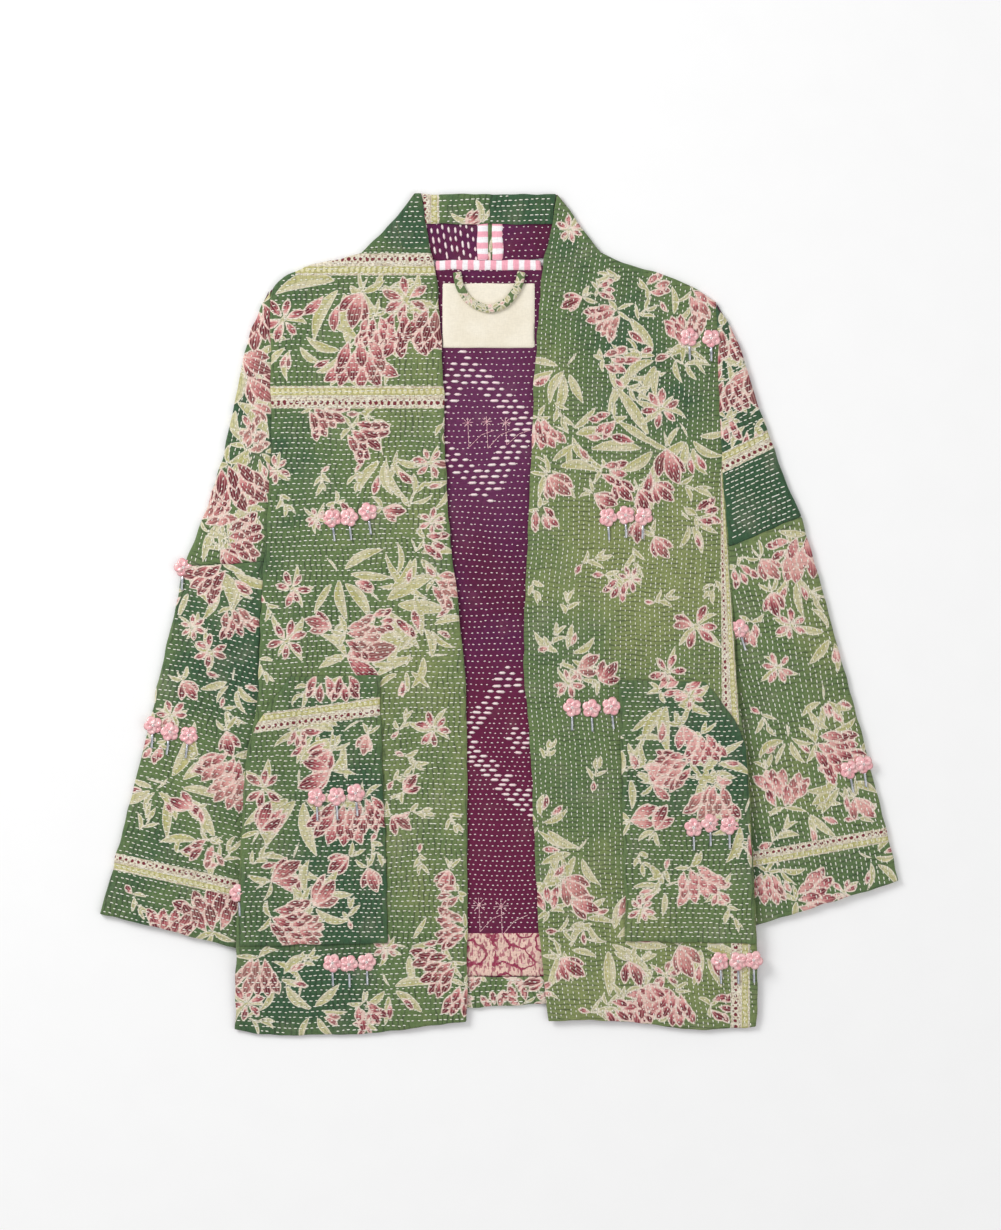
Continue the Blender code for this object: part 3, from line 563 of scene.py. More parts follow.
def layers(node, side=1):
    """A node's sides that face up, the highest first, or those that face down, the lowest first."""
    mesh = node.data
    mesh.calc_loop_triangles()
    faces = np.empty(3 * len(mesh.loop_triangles), np.int32)
    mesh.loop_triangles.foreach_get("vertices", faces)
    points, merged = np.unique(np.round(mesh_points(mesh), 2), axis=0, return_inverse=True)
    faces = merged.ravel()[faces].reshape(-1, 3)
    a, b, c = (points[faces[:, i]] for i in range(3))
    normal = np.cross(b - a, c - a)
    size = np.linalg.norm(normal, axis=1)
    facing = side * normal[:, 2] > 0.06 * size
    faces, size = faces[facing], size[facing]
    group = grouped(faces, len(points))[faces[:, 0]]
    found = []
    for root in np.unique(group):
        own = group == root
        found.append((size[own].sum(), side * points[faces[own], 2].mean(), faces[own]))
    least = 0.02 * max(row[0] for row in found)
    found = sorted((row for row in found if row[0] > least), key=lambda row: -round(row[1], 1))
    return [Layer(points, own, side) for _, _, own in found]


# Meshes

def grid_triangles(wide, high):
    """Two triangles in each cell of a grid of points."""
    index = np.arange(wide * high).reshape(high, wide)
    a, b, c, d = (part.ravel() for part in (index[:-1, :-1], index[:-1, 1:], index[1:, 1:], index[1:, :-1]))
    return np.concatenate([np.stack([a, b, c], 1), np.stack([a, c, d], 1)])


def clipped(x, y, signed, triangles):
    """Triangles cut off where the signed distance passes 0, with the points that the cuts add."""
    within = (signed < 0)[triangles]
    count = within.sum(1)

    def odd_first(rows, odd):
        return np.take_along_axis(rows, (odd.argmax(1)[:, None] + np.arange(3)) % 3, 1)
    one = odd_first(triangles[count == 1], within[count == 1])
    two = odd_first(triangles[count == 2], ~within[count == 2])
    cut = np.concatenate([one[:, [0, 1]], one[:, [0, 2]], two[:, [0, 1]], two[:, [0, 2]]])
    ends, place = np.unique(np.sort(cut, 1), axis=0, return_inverse=True)
    place = place.ravel() + len(x)
    share = signed[ends[:, 0]] / (signed[ends[:, 0]] - signed[ends[:, 1]])
    p, q, r, s = np.split(place, [len(one), 2 * len(one), 2 * len(one) + len(two)])
    triangles = np.concatenate([
        triangles[count == 3], np.stack([one[:, 0], p, q], 1),
        np.stack([r, two[:, 1], two[:, 2]], 1), np.stack([r, two[:, 2], s], 1)])
    x, y = (np.concatenate([v, v[ends[:, 0]] * (1 - share) + v[ends[:, 1]] * share]) for v in (x, y))
    return x, y, np.concatenate([signed, np.zeros(len(ends))]), triangles


def lattice(loops, angle, along, across):
    """Points, edge distances and triangles of a grid, turned by angle, that fills what all loops hold."""
    cos, sin = math.cos(angle), math.sin(angle)
    turn = np.array([[cos, -sin], [sin, cos]])
    loops = [loop @ turn for loop in loops]
    low, high = loops[0].min(0), loops[0].max(0)
    xs = np.arange(math.floor(low[0] / along) * along, high[0] + along, along)
    ys = np.arange(math.floor(low[1] / across) * across, high[1] + across, across)
    x, y = (grid.ravel() for grid in np.meshgrid(xs, ys))
    signed = np.full(len(x), -1e9)
    for loop in loops:
        gap, inside = to_loop(loop, x, y)
        signed = np.maximum(signed, np.where(inside, -gap, gap))
    signed = np.where(np.abs(signed) < 0.02, -0.02, signed)
    x, y, signed, triangles = clipped(x, y, signed, grid_triangles(len(xs), len(ys)))
    used, triangles = np.unique(triangles, return_inverse=True)
    place = np.stack([x[used], y[used]], 1) @ turn.T
    return place[:, 0], place[:, 1], -signed[used], triangles.reshape(-1, 3)


def plain_grid(loop, spacing):
    """Points of a square grid well inside a loop."""
    low, high = loop.min(0), loop.max(0)
    lines = (np.arange(low[i] + spacing / 2, high[i], spacing) for i in (0, 1))
    x, y = (part.ravel() for part in np.meshgrid(*lines))
    gap, inside = to_loop(loop[::3], x, y)
    keep = inside & (gap > spacing / 2)
    return np.stack([x[keep], y[keep]], 1)


def far_side(loops, spacing):
    """Points of some outlines and a grid inside, the outlines as point numbers, and triangles over all."""
    flat = np.concatenate([*loops, plain_grid(max(loops, key=len), spacing)])
    starts = np.cumsum([0] + [len(loop) for loop in loops])
    outlines = [np.arange(a, b) for a, b in zip(starts[:-1], starts[1:])]
    made = geometry.delaunay_2d_cdt(flat.tolist(), [], [line.tolist() for line in outlines], 1, 1e-6)
    where = np.array([ids[0] if ids else 0 for ids in made[3]])
    return flat, outlines, where[np.array(made[2])]


def mesh_object(name, points, triangles, materials):
    """A smooth mesh piece from points in millimetres, riding on the part."""
    mesh = bpy.data.meshes.new(name)
    mesh.vertices.add(len(points))
    mesh.vertices.foreach_set("co", (points * MM).astype(np.float32).ravel())
    mesh.loops.add(3 * len(triangles))
    mesh.loops.foreach_set("vertex_index", np.asarray(triangles, np.int32).ravel())
    mesh.polygons.add(len(triangles))
    mesh.polygons.foreach_set("loop_start", np.arange(0, 3 * len(triangles), 3, dtype=np.int32))
    mesh.update(calc_edges=True)
    mesh.shade_smooth()
    for material in materials:
        mesh.materials.append(material)
    made = bpy.data.objects.new(name, mesh)
    bpy.context.collection.objects.link(made)
    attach(made, "root")
    return made


def put_fields(mesh, fields):
    """Stores print fields on a mesh's points, where the materials read them."""
    for name in FIELDS:
        values = fields[name].astype(np.float32)
        mesh.attributes.new(name, "FLOAT", "POINT").data.foreach_set("value", values)


class Shells:
    """Closed shells that together make one piece, with their print fields."""

    def __init__(self):
        self.points, self.triangles, self.looks, self.fields = [], [], [], []
        self.count = 0

    def add(self, points, triangles, look=0, fields=None):
        """Some points, the triangles between them, and their material's number or numbers."""
        self.points.append(points)
        self.triangles.append(triangles + self.count)
        self.looks.append(np.broadcast_to(look, len(triangles)))
        self.fields.append(fields or {name: np.full(len(points), BLANK[name]) for name in FIELDS})
        self.count += len(points)

    def close(self, face, over, side, looks, spacing=PLAIN_GRID, paint=None):
        """Adds a face, a wall round it and a far side, whose heights and folded edges over gives."""
        x, y, z, triangles, fields = face
        rings = [np.array(ring) for ring in open_rings(triangles) if len(ring) > 2]
        rim = np.concatenate(rings)
        flat, outlines, plain = far_side([np.stack([x[ring], y[ring]], 1) for ring in rings], spacing)
        level, folded = over(flat[:, 0], flat[:, 1], np.arange(len(flat)) < len(rim))
        walls = []
        for here in outlines:
            ahead = np.roll(here, -1)
            walls += [np.stack([rim[ahead], rim[here], here + len(x)], 1),
                      np.stack([rim[ahead], here + len(x), ahead + len(x)], 1)]
        walls = np.concatenate(walls)
        points = np.concatenate([np.stack([x, y, z], 1), np.column_stack([flat, level])])
        rows = np.concatenate([triangles, walls, plain[:, ::-1] + len(x)])
        look = np.repeat(looks, [len(triangles), len(walls), len(plain)])
        look[len(triangles) + len(walls):][folded[plain].any(1)] = looks[1]
        if paint:
            far = paint("far", flat[:, 0], flat[:, 1], 127).fields
        else:
            bare = len(flat) - len(rim)
            far = {name: np.append(fields[name][rim], np.full(bare, BLANK[name])) for name in FIELDS}
        spread = {name: np.append(fields[name], far[name]) for name in FIELDS}
        self.add(points, rows if side > 0 else rows[:, ::-1], look, spread)
        return self

    def build(self, name, materials, slot):
        """The piece as an object that rides on the part."""
        made = mesh_object(name, np.concatenate(self.points), np.concatenate(self.triangles), materials)
        made.data.polygons.foreach_set("material_index", np.concatenate(self.looks).astype(np.int32))
        joined = {field: np.concatenate([part[field] for part in self.fields]) for field in FIELDS}
        put_fields(made.data, joined)
        return made


# The print

class Paint:
    """Print fields at some points, filled motif by motif."""

    def __init__(self, x, y, seed, faded=0.0):
        self.x, self.y, self.faded = x, y, faded
        self.rng = np.random.default_rng(seed)
        self.fields = {name: np.full(len(x), BLANK[name]) for name in FIELDS}

    def blade(self, foot, tip, width, bend, plump):
        """Points near a leaf or petal, how far they are from its edge, and their place along and across."""
        dx, dy = tip[0] - foot[0], tip[1] - foot[1]
        length = math.hypot(dx, dy)
        near = 0.5 * length + width + 5
        beside = np.abs(self.x - foot[0] - dx / 2) < near
        rows = np.flatnonzero(beside & (np.abs(self.y - foot[1] - dy / 2) < near))
        px, py = self.x[rows] - foot[0], self.y[rows] - foot[1]
        along = (px * dx + py * dy) / length ** 2
        held = np.clip(along, 0.0, 1.0)
        across = (py * dx - px * dy) / length - 4 * bend * length * held * (1 - held)
        profile = np.maximum(np.sin(math.pi * held ** plump), 0) ** 0.85
        over = np.abs(along - held) * length
        edge = np.where(over > 0, np.hypot(across, over), np.abs(across) - 0.5 * width * profile)
        return rows, edge, held, across

    def leaf(self, x, y, way, length, width=None, bend=None):
        """A pointed leaf from its foot, curved a little."""
        least, most = LEAF_WIDTHS
        width = width or min(most, max(least, LEAF_SHARE * length)) * self.rng.uniform(0.8, 1.2)
        bend = self.rng.uniform(-LEAF_BEND, LEAF_BEND) if bend is None else bend
        rows, edge, _, across = self.blade((x, y), beyond(x, y, way, length), width, bend, 0.85)
        over = (edge < 0.4) | (edge < self.fields["leaf"][rows])
        self.fields["leaf"][rows[over]] = edge[over]
        self.fields["rib"][rows[over]] = across[over]

    def petal(self, x, y, way, length, share=None, tone=0.0):
        """A petal from its foot, over what is there already."""
        width = length * (share or self.rng.uniform(0.38, 0.52))
        tone += self.rng.uniform(-0.2, 0.2) - self.faded
        bend = self.rng.uniform(-0.08, 0.08)
        rows, edge, along, across = self.blade((x, y), beyond(x, y, way, length), width, bend, 1.25)
        fields = self.fields
        fields["petal"][rows] = np.minimum(fields["petal"][rows], edge)
        inside = edge < 0
        closer = inside | (np.abs(edge) < fields["line"][rows])
        fields["line"][rows[closer]] = np.abs(edge[closer])
        fields["shade"][rows[inside]] = along[inside] + tone
        fields["hatch"][rows[inside]] = across[inside]

    def stem(self, x, y, way, length):
        self.leaf(x, y, way, length, width=STEM_WIDE, bend=self.rng.uniform(-0.1, 0.1))

    def fan(self, x, y, way, size):
        """Long leaves from one foot, with two buds between them."""
        count = 4 if size < 40 else 5
        for k in self.rng.permutation(count):
            turn = way + 2.5 * (k / (count - 1) - 0.5) + self.rng.normal(0, 0.12)
            foot = beyond(x, y, turn, self.rng.uniform(0.08, 0.3) * size)
            self.leaf(*foot, turn, size * self.rng.uniform(0.62, 1.0))
        for turn in self.rng.normal(way, 0.8, 2):
            self.petal(*beyond(x, y, turn, 0.4 * size), turn, 0.42 * size, 0.36)
        self.stem(x, y, way + math.pi, 0.45 * size)

    def branch(self, x, y, way, size):
        """A bent branch with two twigs."""
        self.leaf(x, y, way, size, width=0.13 * size, bend=0.14)
        for start, turn, share in TWIGS:
            self.leaf(*beyond(x, y, way + 0.2, start * size), way + turn, share * size, width=0.09 * size)

    def sprig(self, x, y, way, size):
        """A small stem with a few leaves and often a bud."""
        self.stem(x, y, way, 0.6 * size)
        for start, turn, share in SPRIG_LEAVES:
            turn += way + self.rng.normal(0, 0.12)
            self.leaf(*beyond(x, y, way, start * size), turn, share * size * self.rng.uniform(0.8, 1.15))
        if self.rng.random() < 0.6:
            self.petal(x, y, way + self.rng.uniform(2, 4), 0.4 * size)

    def tulip(self, x, y, way, size):
        """A bud of three petals on a stem with two leaves."""
        for turn, share in ((2.5, 0.7), (-2.45, 0.6)):
            self.leaf(x, y, way + turn + self.rng.normal(0, 0.15), share * size)
        self.stem(x, y, way + math.pi, 0.5 * size)
        for turn, share in ((0.5, 0.8), (-0.5, 0.8), (0.12, 1.0)):
            self.petal(x, y, way + turn + self.rng.normal(0, 0.06), share * size, 0.4, 0.05)

    def peony(self, x, y, way, size):
        """Rows of petals like scales, the far ones first, with leaves behind."""
        for turn in (1.9, -1.85, 2.6):
            self.leaf(x, y, way + turn + self.rng.normal(0, 0.2), size * self.rng.uniform(0.45, 0.7))
        tone = self.rng.uniform(-0.15, 0.15)
        for start, count, spread, reach in PEONY_ROWS if size > SMALL_PEONY else SMALL_PEONY_ROWS:
            for k in range(count):
                lean = spread * (2 * k / (count - 1) - 1) + self.rng.normal(0, 0.07)
                middle = beyond(x, y, way, start * size)
                foot = beyond(*middle, way + math.pi / 2, 0.36 * size * math.sin(lean))
                length = reach * size * self.rng.uniform(0.9, 1.08)
                self.petal(*foot, way + 0.75 * lean, length, 0.44, tone)

    def star(self, x, y, way, size):
        """Open petals and a few leaves round a middle."""
        for k in range(4):
            turn = way + 0.5 + 1.6 * k + self.rng.normal(0, 0.3)
            self.leaf(x, y, turn, size * self.rng.uniform(0.45, 0.75))
        for k in range(6):
            turn = way + math.pi * k / 3 + self.rng.normal(0, 0.16)
            length = 0.44 * size * self.rng.uniform(0.8, 1.1)
            self.petal(*beyond(x, y, turn, 0.07 * size), turn, length, 0.42)
        self.leaf(x - 0.06 * size, y, 0.0, 0.12 * size, width=0.12 * size, bend=0.0)

    def band(self, x0, y0, x1, y1, width, last=None):
        """A border band, as distance across it in half widths and along it in millimetres."""
        length = math.hypot(x1 - x0, y1 - y0)
        ux, uy = (x1 - x0) / length, (y1 - y0) / length
        along = (self.x - x0) * ux + (self.y - y0) * uy
        wide = width + ((last or width) - width) * np.clip(along / length, 0, 1)
        across = ((self.y - y0) * ux - (self.x - x0) * uy) / (0.5 * wide)
        rows = (np.abs(across) < 1.5) & (along > -6) & (along < length + 6)
        self.fields["band"][rows] = across[rows]
        self.fields["run"][rows] = along[rows]

    def tints(self, base, spots=()):
        """The ground's drift of colour, from a base and spots that fade out."""
        self.fields["tint"] = np.full(len(self.x), float(base))
        for x, y, reach, amount in spots:
            self.fields["tint"] += amount * np.exp(-((self.x - x) ** 2 + (self.y - y) ** 2) / reach ** 2)

    def scatter(self, spacing):
        """Sprays spread over all the points, for the sides that the photo doesn't show."""
        kinds = self.fan, self.peony, self.star, self.tulip, self.sprig
        for y in np.arange(self.y.min(), self.y.max(), spacing):
            for x in np.arange(self.x.min(), self.x.max(), spacing):
                spot = np.array([x, y]) + self.rng.uniform(0, 1, 2) * spacing
                draw = kinds[self.rng.integers(len(kinds))]
                draw(*spot, self.rng.uniform(0, FULL_TURN), self.rng.uniform(0.7, 1.1) * spacing)


def printed(node, x, y, seed):
    """The print of a panel as the photo lays it out."""
    paint = Paint(x, y, seed, FADED.get(node, 0.0))
    rows = SPRAYS.get(node, {})
    for kind in ("branch", "fan", "sprig", "star", "tulip", "peony"):
        for foot_x, foot_y, way, size in rows.get(kind, ()):
            getattr(paint, kind)(foot_x, foot_y, math.radians(way), size)
    for row in BANDS.get(node, ()):
        paint.band(*row)
    paint.tints(*TINTS.get(node, (0.0,)))
    return paint


def scattered(node, x, y, seed):
    """A print of sprays anywhere, for what the photo hides."""
    paint = Paint(x, y, seed)
    paint.scatter(HEM_SPACING if node == "back_hem" else SPRAY_SPACING)
    paint.tints(*TINTS.get(node, (0.1,)))
    return paint


def unprinted(node, x, y, seed):
    """A ground without sprays."""
    paint = Paint(x, y, seed)
    paint.tints(*TINTS.get(node, (0.0,)))
    return paint


# Quilted cloth

def row_shift(row):
    """How far along a stitch row its stitches are shifted, in stitches, with no pattern."""
    number = np.round(row)
    return np.mod(0.37 * number + 0.3 * np.mod(np.sin(number * 12.9898) * 43758.5453, 1.0), 1)


def everywhere(x, y):
    return np.ones(len(x), bool)


class Cloth:
    """A quilted panel: where its stitch rows run, and how its face rises."""

    def __init__(self, node, layer, seed, angle=0.0, pitch=PITCH, relief=RELIEF, drift=None, rise=0.0,
                 loops=None, every=STITCH_EVERY, closer=None):
        self.node, self.layer, self.pitch, self.relief, self.seed = node, layer, pitch, relief, seed
        self.every, self.rise = every, rise
        self.turning, self.close_pitch = closer or (-1e6, pitch)
        self.cos, self.sin = math.cos(math.radians(angle)), math.sin(math.radians(angle))
        self.angle = math.radians(angle)
        self.drift = drift or (lambda along: 0.0)
        self.loops = loops or (layer.loop,)
        self.wobble = waves(seed, 70, 240)
        self.uneven = waves(seed + 1, 14, 60)
        self.sag = waves(seed + 2, 60, 200)

    def rows(self, x, y):
        """Stitch row numbers at some points, and their places along the rows."""
        along = self.cos * x + self.sin * y
        across = self.cos * y - self.sin * x - self.drift(along) + WOBBLE * self.wobble(x, y)
        closer = np.minimum(across - self.turning, 0) / self.close_pitch
        return np.maximum(across, self.turning) / self.pitch + closer, along

    def place(self, row, along):
        """Where a place along a stitch row is in plan."""
        turn = self.turning / self.pitch
        across = np.maximum(row, turn) * self.pitch + np.minimum(row - turn, 0) * self.close_pitch
        across = shifted = across + self.drift(along)
        for _ in range(2):
            x, y = self.cos * along - self.sin * shifted, self.sin * along + self.cos * shifted
            shifted = across - WOBBLE * self.wobble(x, y)
        return self.cos * along - self.sin * shifted, self.sin * along + self.cos * shifted

    def top(self, x, y, edge):
        """The face's height at points that lie edge in from the outline."""
        row, along = self.rows(x, y)
        puff = np.abs(np.sin(math.pi * row)) ** 0.75
        pull = 0.5 + 0.5 * np.cos(FULL_TURN * (along / self.every - row_shift(row)))
        swell = self.relief * (puff * (0.85 + 0.3 * self.uneven(x, y)) - 0.25 * (1 - puff) * pull)
        roll = EDGE_DROP * np.clip(1 - edge / EDGE_ROLL, 0, 1) ** 2
        level = self.layer.height(x, y) + self.rise
        if self.layer.side < 0:
            return np.maximum(level + 1.1 * self.relief - swell + roll, 0.0)
        lift = swell - 0.5 * self.relief + 0.35 * self.sag(x, y) * min(1.0, self.relief / RELIEF)
        for x0, y0, x1, y1, width, height in CREASES.get(self.node, ()):
            gap, share = to_segment(x, y, (x0, y0), (x1, y1))
            ends = np.sin(math.pi * np.clip(share, 0.02, 0.98)) ** 0.6
            lift = lift + height * np.exp(-(gap / width) ** 2) * ends
        return level + lift * np.clip(edge / 5, 0.25, 1) - roll

    def face(self, along=FINE, paint=printed):
        """The fine outer face: x, y, z, triangles and print."""
        x, y, edge, triangles = lattice(self.loops, self.angle, along, self.pitch / 3)
        fields = paint(self.node, x, y, self.seed).fields
        # beat is the place along the stitches, which places the painted shade in the stitch folds
        fields["beat"] = self.rows(x, y)[1] / self.every
        return x, y, self.top(x, y, edge), triangles, fields

    def height(self, x, y):
        gap, inside = to_loop(self.loops[0], x, y)
        return self.top(x, y, np.where(inside, gap, 0))

    def dashes(self, keep=everywhere, every=None, dash=DASH, margin=MARGIN, step=1):
        """Ends of the running stitches that keep says to sew, on the face."""
        every = every or self.every
        low, high = self.loops[-1].min(0) - 20, self.loops[-1].max(0) + 20
        corner = np.array([(x, y) for x in (low[0], high[0]) for y in (low[1], high[1])])
        row, along = self.rows(corner[:, 0], corner[:, 1])
        rng = np.random.default_rng(self.seed + 5)
        numbers = np.arange(math.floor(row.min()) - 8, row.max() + 8, step)
        counts = np.arange(math.floor(along.min() / every), along.max() / every)
        row, count = (grid.ravel() for grid in np.meshgrid(numbers, counts))
        middle = (count + row_shift(row)) * every + rng.normal(0, 0.4, len(row))
        row = row + rng.normal(0, 0.05, len(row))
        x, y = self.place(row, middle)
        mask = keep(x, y)
        for loop in self.loops:
            gap, inside = to_loop(loop, x, y)
            mask &= inside & (gap > margin)
        row, middle = row[mask], middle[mask]
        half = 0.5 * dash * rng.uniform(0.75, 1.2, len(row))
        tilt = rng.normal(0, 0.02, len(row))
        ends = []
        for sign in (-1, 1):
            x, y = self.place(row + sign * tilt, middle + sign * half)
            z = self.height(x, y)
            z = z + THREAD_RISE if self.layer.side > 0 else np.maximum(z, THREAD_LEAST)
            ends.append(np.stack([x, y, z], 1))
        return ends


def grains(name, ends, width, material, side=1):
    """Short threads between pairs of points as one piece, plump ones, or plain ones on the underside."""
    a, b = ends
    way = b - a
    length = np.linalg.norm(way, axis=1)[:, None]
    way = way / length
    across = 0.5 * width * np.stack([-way[:, 1], way[:, 0], np.zeros(len(a))], 1)
    up = side * width * np.array([0, 0, 1.0])
    if side > 0:
        inset = np.minimum(0.32 * length, 0.8 * width)
        corners = [a - 0.15 * up]
        for end, step in ((a, inset * way), (b, -inset * way)):
            corners += [end + step + across, end + step - across, end + step + 0.5 * up]
        corners.append(b - 0.15 * up)
        pattern = np.array(PLUMP)
    else:
        middle = 0.5 * (a + b)
        corners = [a, middle + 1.2 * across, middle - 1.2 * across, middle + 0.5 * up, b]
        pattern = np.array(LEAN)[:, ::-1]
    points = np.stack(corners, 1).reshape(-1, 3)
    triangles = (len(corners) * np.arange(len(a))[:, None, None] + pattern).reshape(-1, 3)
    mesh_object(name, points, triangles, [material])


# Materials

# Colours of the print's ground, leaves, petals and border bands, and the dark green of the painted shade in
# its stitch folds
OLIVE, GREEN = srgb(136, 146, 92), srgb(100, 122, 76)
DEEP_GREEN, FOLD_SHADE_GREEN = srgb(56, 90, 62), srgb(44, 58, 40)
LEAF, LEAF_WORN, LEAF_PALE = srgb(184, 180, 120), srgb(206, 199, 158), srgb(220, 211, 184)
LEAF_RIB, LEAF_EDGE, PETAL_RIM = srgb(132, 146, 88), srgb(230, 221, 202), srgb(232, 216, 200)
PETAL_FOOT, PETAL_MIDDLE, PETAL_TIP = srgb(224, 166, 160), srgb(178, 88, 96), srgb(106, 32, 46)
PETAL_WASHED, PETAL_VEIN, PETAL_EDGE = srgb(218, 172, 156), srgb(232, 186, 176), srgb(238, 206, 194)
BAND_CREAM, BAND_PALE, BAND_DOT = srgb(220, 209, 184), srgb(236, 229, 210), srgb(122, 46, 54)
BAND_STRIPE, BAND_BEAD, BAND_LINE = srgb(186, 181, 120), srgb(222, 215, 174), srgb(120, 80, 54)

# Colours of the inside and the trims
PLUM, VIOLET, PLUM_WORN = srgb(90, 20, 58), srgb(90, 25, 72), srgb(104, 26, 66)
VIOLET_SLUB, VIOLET_PALE, PLUM_RED = srgb(116, 44, 92), srgb(101, 42, 83), srgb(102, 22, 62)
BROCADE_PINK, BROCADE_MAROON, BROCADE_TICK = srgb(236, 202, 186), srgb(150, 50, 80), srgb(166, 74, 98)
TAPE_WHITE, TAPE_PINK, WORN = srgb(250, 246, 248), srgb(246, 174, 190), srgb(206, 200, 172)
PAPER, PAPER_PALE = srgb(250, 250, 250), srgb(253, 253, 253)

# Sizes of the tapes' bars, the brocade's scrolls, half a border band, and the spacing of its dots and beads
TAPE_EVERY = 10.2
BROCADE_SCROLL = 26
HALF_BAND = 8
DOT_EVERY = 5.5
BEAD_EVERY = 5.0


class Value:
    """A number or colour that a material's nodes work out, with arithmetic that adds nodes."""

    def __init__(self, look, socket):
        self.look, self.socket = look, socket

    def math(self, operation, other=0.0):
        return self.look.node("ShaderNodeMath", 0, {0: self, 1: other}, operation=operation)

    def __add__(self, other):
        return self.math("ADD", other)

    def __sub__(self, other):
        return self.math("SUBTRACT", other)

    def __mul__(self, other):
        return self.math("MULTIPLY", other)

    def __truediv__(self, other):
        return self.math("DIVIDE", other)

    def __abs__(self):
        return self.math("ABSOLUTE")

    def beat(self):
        """From -0.5 to 0.5 between one whole number and the next."""
        return self.math("FRACT") - 0.5

    def step(self, low, high):
        """0 below low and 1 above high, or the other way round where low is the larger."""
        inputs = {"Value": self, "From Min": low, "From Max": high}
        return self.look.node("ShaderNodeMapRange", "Result", inputs, interpolation_type="SMOOTHSTEP")


class Look:
    """Builds one procedural material, node by node."""

    def __init__(self, name, roughness=0.85, sheen=0.25, specular=0.25):
        self.material = bpy.data.materials.new(name)
        self.material.use_nodes = True
        self.tree = self.material.node_tree
        self.shader = self.tree.nodes["Principled BSDF"].inputs
        self.shade({"Roughness": roughness, "Sheen Weight": sheen, "Specular IOR Level": specular})
        self.place = self.node("ShaderNodeTexCoord", "Object", {})

    def put(self, socket, value):
        if isinstance(value, Value):
            self.tree.links.new(value.socket, socket)
        else:
            socket.default_value = value

    def shade(self, inputs):
        """Sets or links inputs of the shader."""
        for key, value in inputs.items():
            self.put(self.shader[key], value)
        return self.material

    def node(self, kind, output, inputs, **settings):
        """An output of a new node with some settings, and values or links for its inputs."""
        made = self.tree.nodes.new(kind)
        for key, value in settings.items():
            setattr(made, key, value)
        for key, value in inputs.items():
            self.put(made.inputs[key], value)
        return Value(self, made.outputs[output])

    def blend(self, share, a, b, kind="MIX"):
        return self.node("ShaderNodeMix", 2, {0: share, 6: a, 7: b}, data_type="RGBA", blend_type=kind)

    def field(self, name):
        return self.node("ShaderNodeAttribute", "Fac", {}, attribute_name=name)

    def noise(self, size, detail=2.0, stretch=(1.0, 1.0, 1.0)):
        """A noise of 0 to 1 with features of about a size in millimetres."""
        place = self.node("ShaderNodeMapping", "Vector", {"Vector": self.place, "Scale": stretch})
        inputs = {"Vector": place, "Scale": 1 / MM / size, "Detail": detail}
        return self.node("ShaderNodeTexNoise", "Fac", inputs)

    def waver(self, size, amount):
        """A noise of about minus amount to amount."""
        return (self.noise(size) - 0.5) * (2.6 * amount)

    def dots(self, along, every, across, middle):
        """How far points of a border band are from a row of dots."""
        u = (along / every).beat() * every
        v = (across - middle) * HALF_BAND
        return (u * u + v * v).math("SQRT")

    def woven(self, colour, wear=0.16, contrast=0.2):
        """Sets the colour, worn a little lighter in patches, over a fine uneven weave whose low spots get
        painted shade and high spots a painted highlight.
        """
        worn = self.blend(self.noise(26, 4.0).step(0.5, 0.85) * wear, colour, WORN)
        weave = self.noise(0.9, 1.0, (1.0, 0.25, 1.0)) + self.noise(0.9, 1.0, (0.25, 1.0, 1.0))
        # Painted shade and highlight: the weave that drives the bump also darkens and lightens the colour
        dark, light = (1 - contrast,) * 3 + (1.0,), (1 + 0.4 * contrast,) * 3 + (1.0,)
        shaded = self.blend(1.0, worn, self.blend(weave.step(0.7, 1.3), dark, light), "MULTIPLY")
        bump = {"Strength": contrast, "Distance": 0.3 * MM, "Height": weave}
        return self.shade({"Normal": self.node("ShaderNodeBump", "Normal", bump), "Base Color": shaded})


def print_look():
    """Faded hand-printed cotton: green ground, leaves, petals and dotted borders from the print fields, with
    painted shade in the folds between stitches.
    """
    look = Look("green_print")
    ragged = look.waver(1.8, 0.2) + look.waver(7, 0.35)
    tint = look.field("tint") + look.waver(60, 0.5) + look.waver(9, 0.3)
    ground = look.blend(tint.step(-0.9, 0.1), OLIVE, GREEN)
    # Painted shade, strong, in the ground's stitch folds
    ground = painted_fold_shade(look, look.blend(tint.step(0.1, 1.0), ground, DEEP_GREEN), 0.62)
    leaf = look.field("leaf") + ragged
    colour = look.blend(leaf.step(0.35, -0.2), ground, leaf_colour(look, leaf))
    petal = look.field("petal") + ragged
    colour = look.blend(petal.step(0.3, -0.3), colour, petal_colour(look, ragged))
    rim = abs(petal - 0.15).step(0.62, 0.25) * look.noise(14).step(0.22, 0.45)
    colour = look.blend(rim, colour, PETAL_RIM)
    # Painted shade, light, in the stitch folds over the whole print
    return look.woven(painted_fold_shade(look, bordered(look, colour), 0.16))


def leaf_colour(look, leaf):
    """Yellow-green that fades to cream on one half and at the edge."""
    rib = look.field("rib")
    green = look.blend(look.noise(16).step(0.35, 0.65), LEAF, LEAF_WORN)
    green = look.blend((rib + look.waver(6, 2.0)).step(-1.5, 2.0) * 0.6, green, LEAF_PALE)
    green = look.blend(abs(rib).step(0.6, 0.25) * 0.35, green, LEAF_RIB)
    return look.blend(leaf.step(-0.85, -0.35), green, LEAF_EDGE)


def petal_colour(look, ragged):
    """Pale pink at the foot to maroon at the tip, with fine pale veins along it and a pale edge."""
    shade = look.field("shade") + look.waver(8, 0.3)
    pink = look.blend(shade.step(0.05, 0.5), PETAL_FOOT, PETAL_MIDDLE)
    pink = look.blend(shade.step(0.3, 0.75), pink, PETAL_TIP)
    pink = look.blend(look.noise(48, 3.0).step(0.46, 0.66) * 0.3, pink, PETAL_WASHED)
    veins = abs((look.field("hatch") / 2.3).beat()).step(0.28, 0.42)
    pink = look.blend(veins * 0.42, pink, PETAL_VEIN)
    return look.blend((look.field("line") + ragged * 0.5).step(1.2, 0.55), pink, PETAL_EDGE)


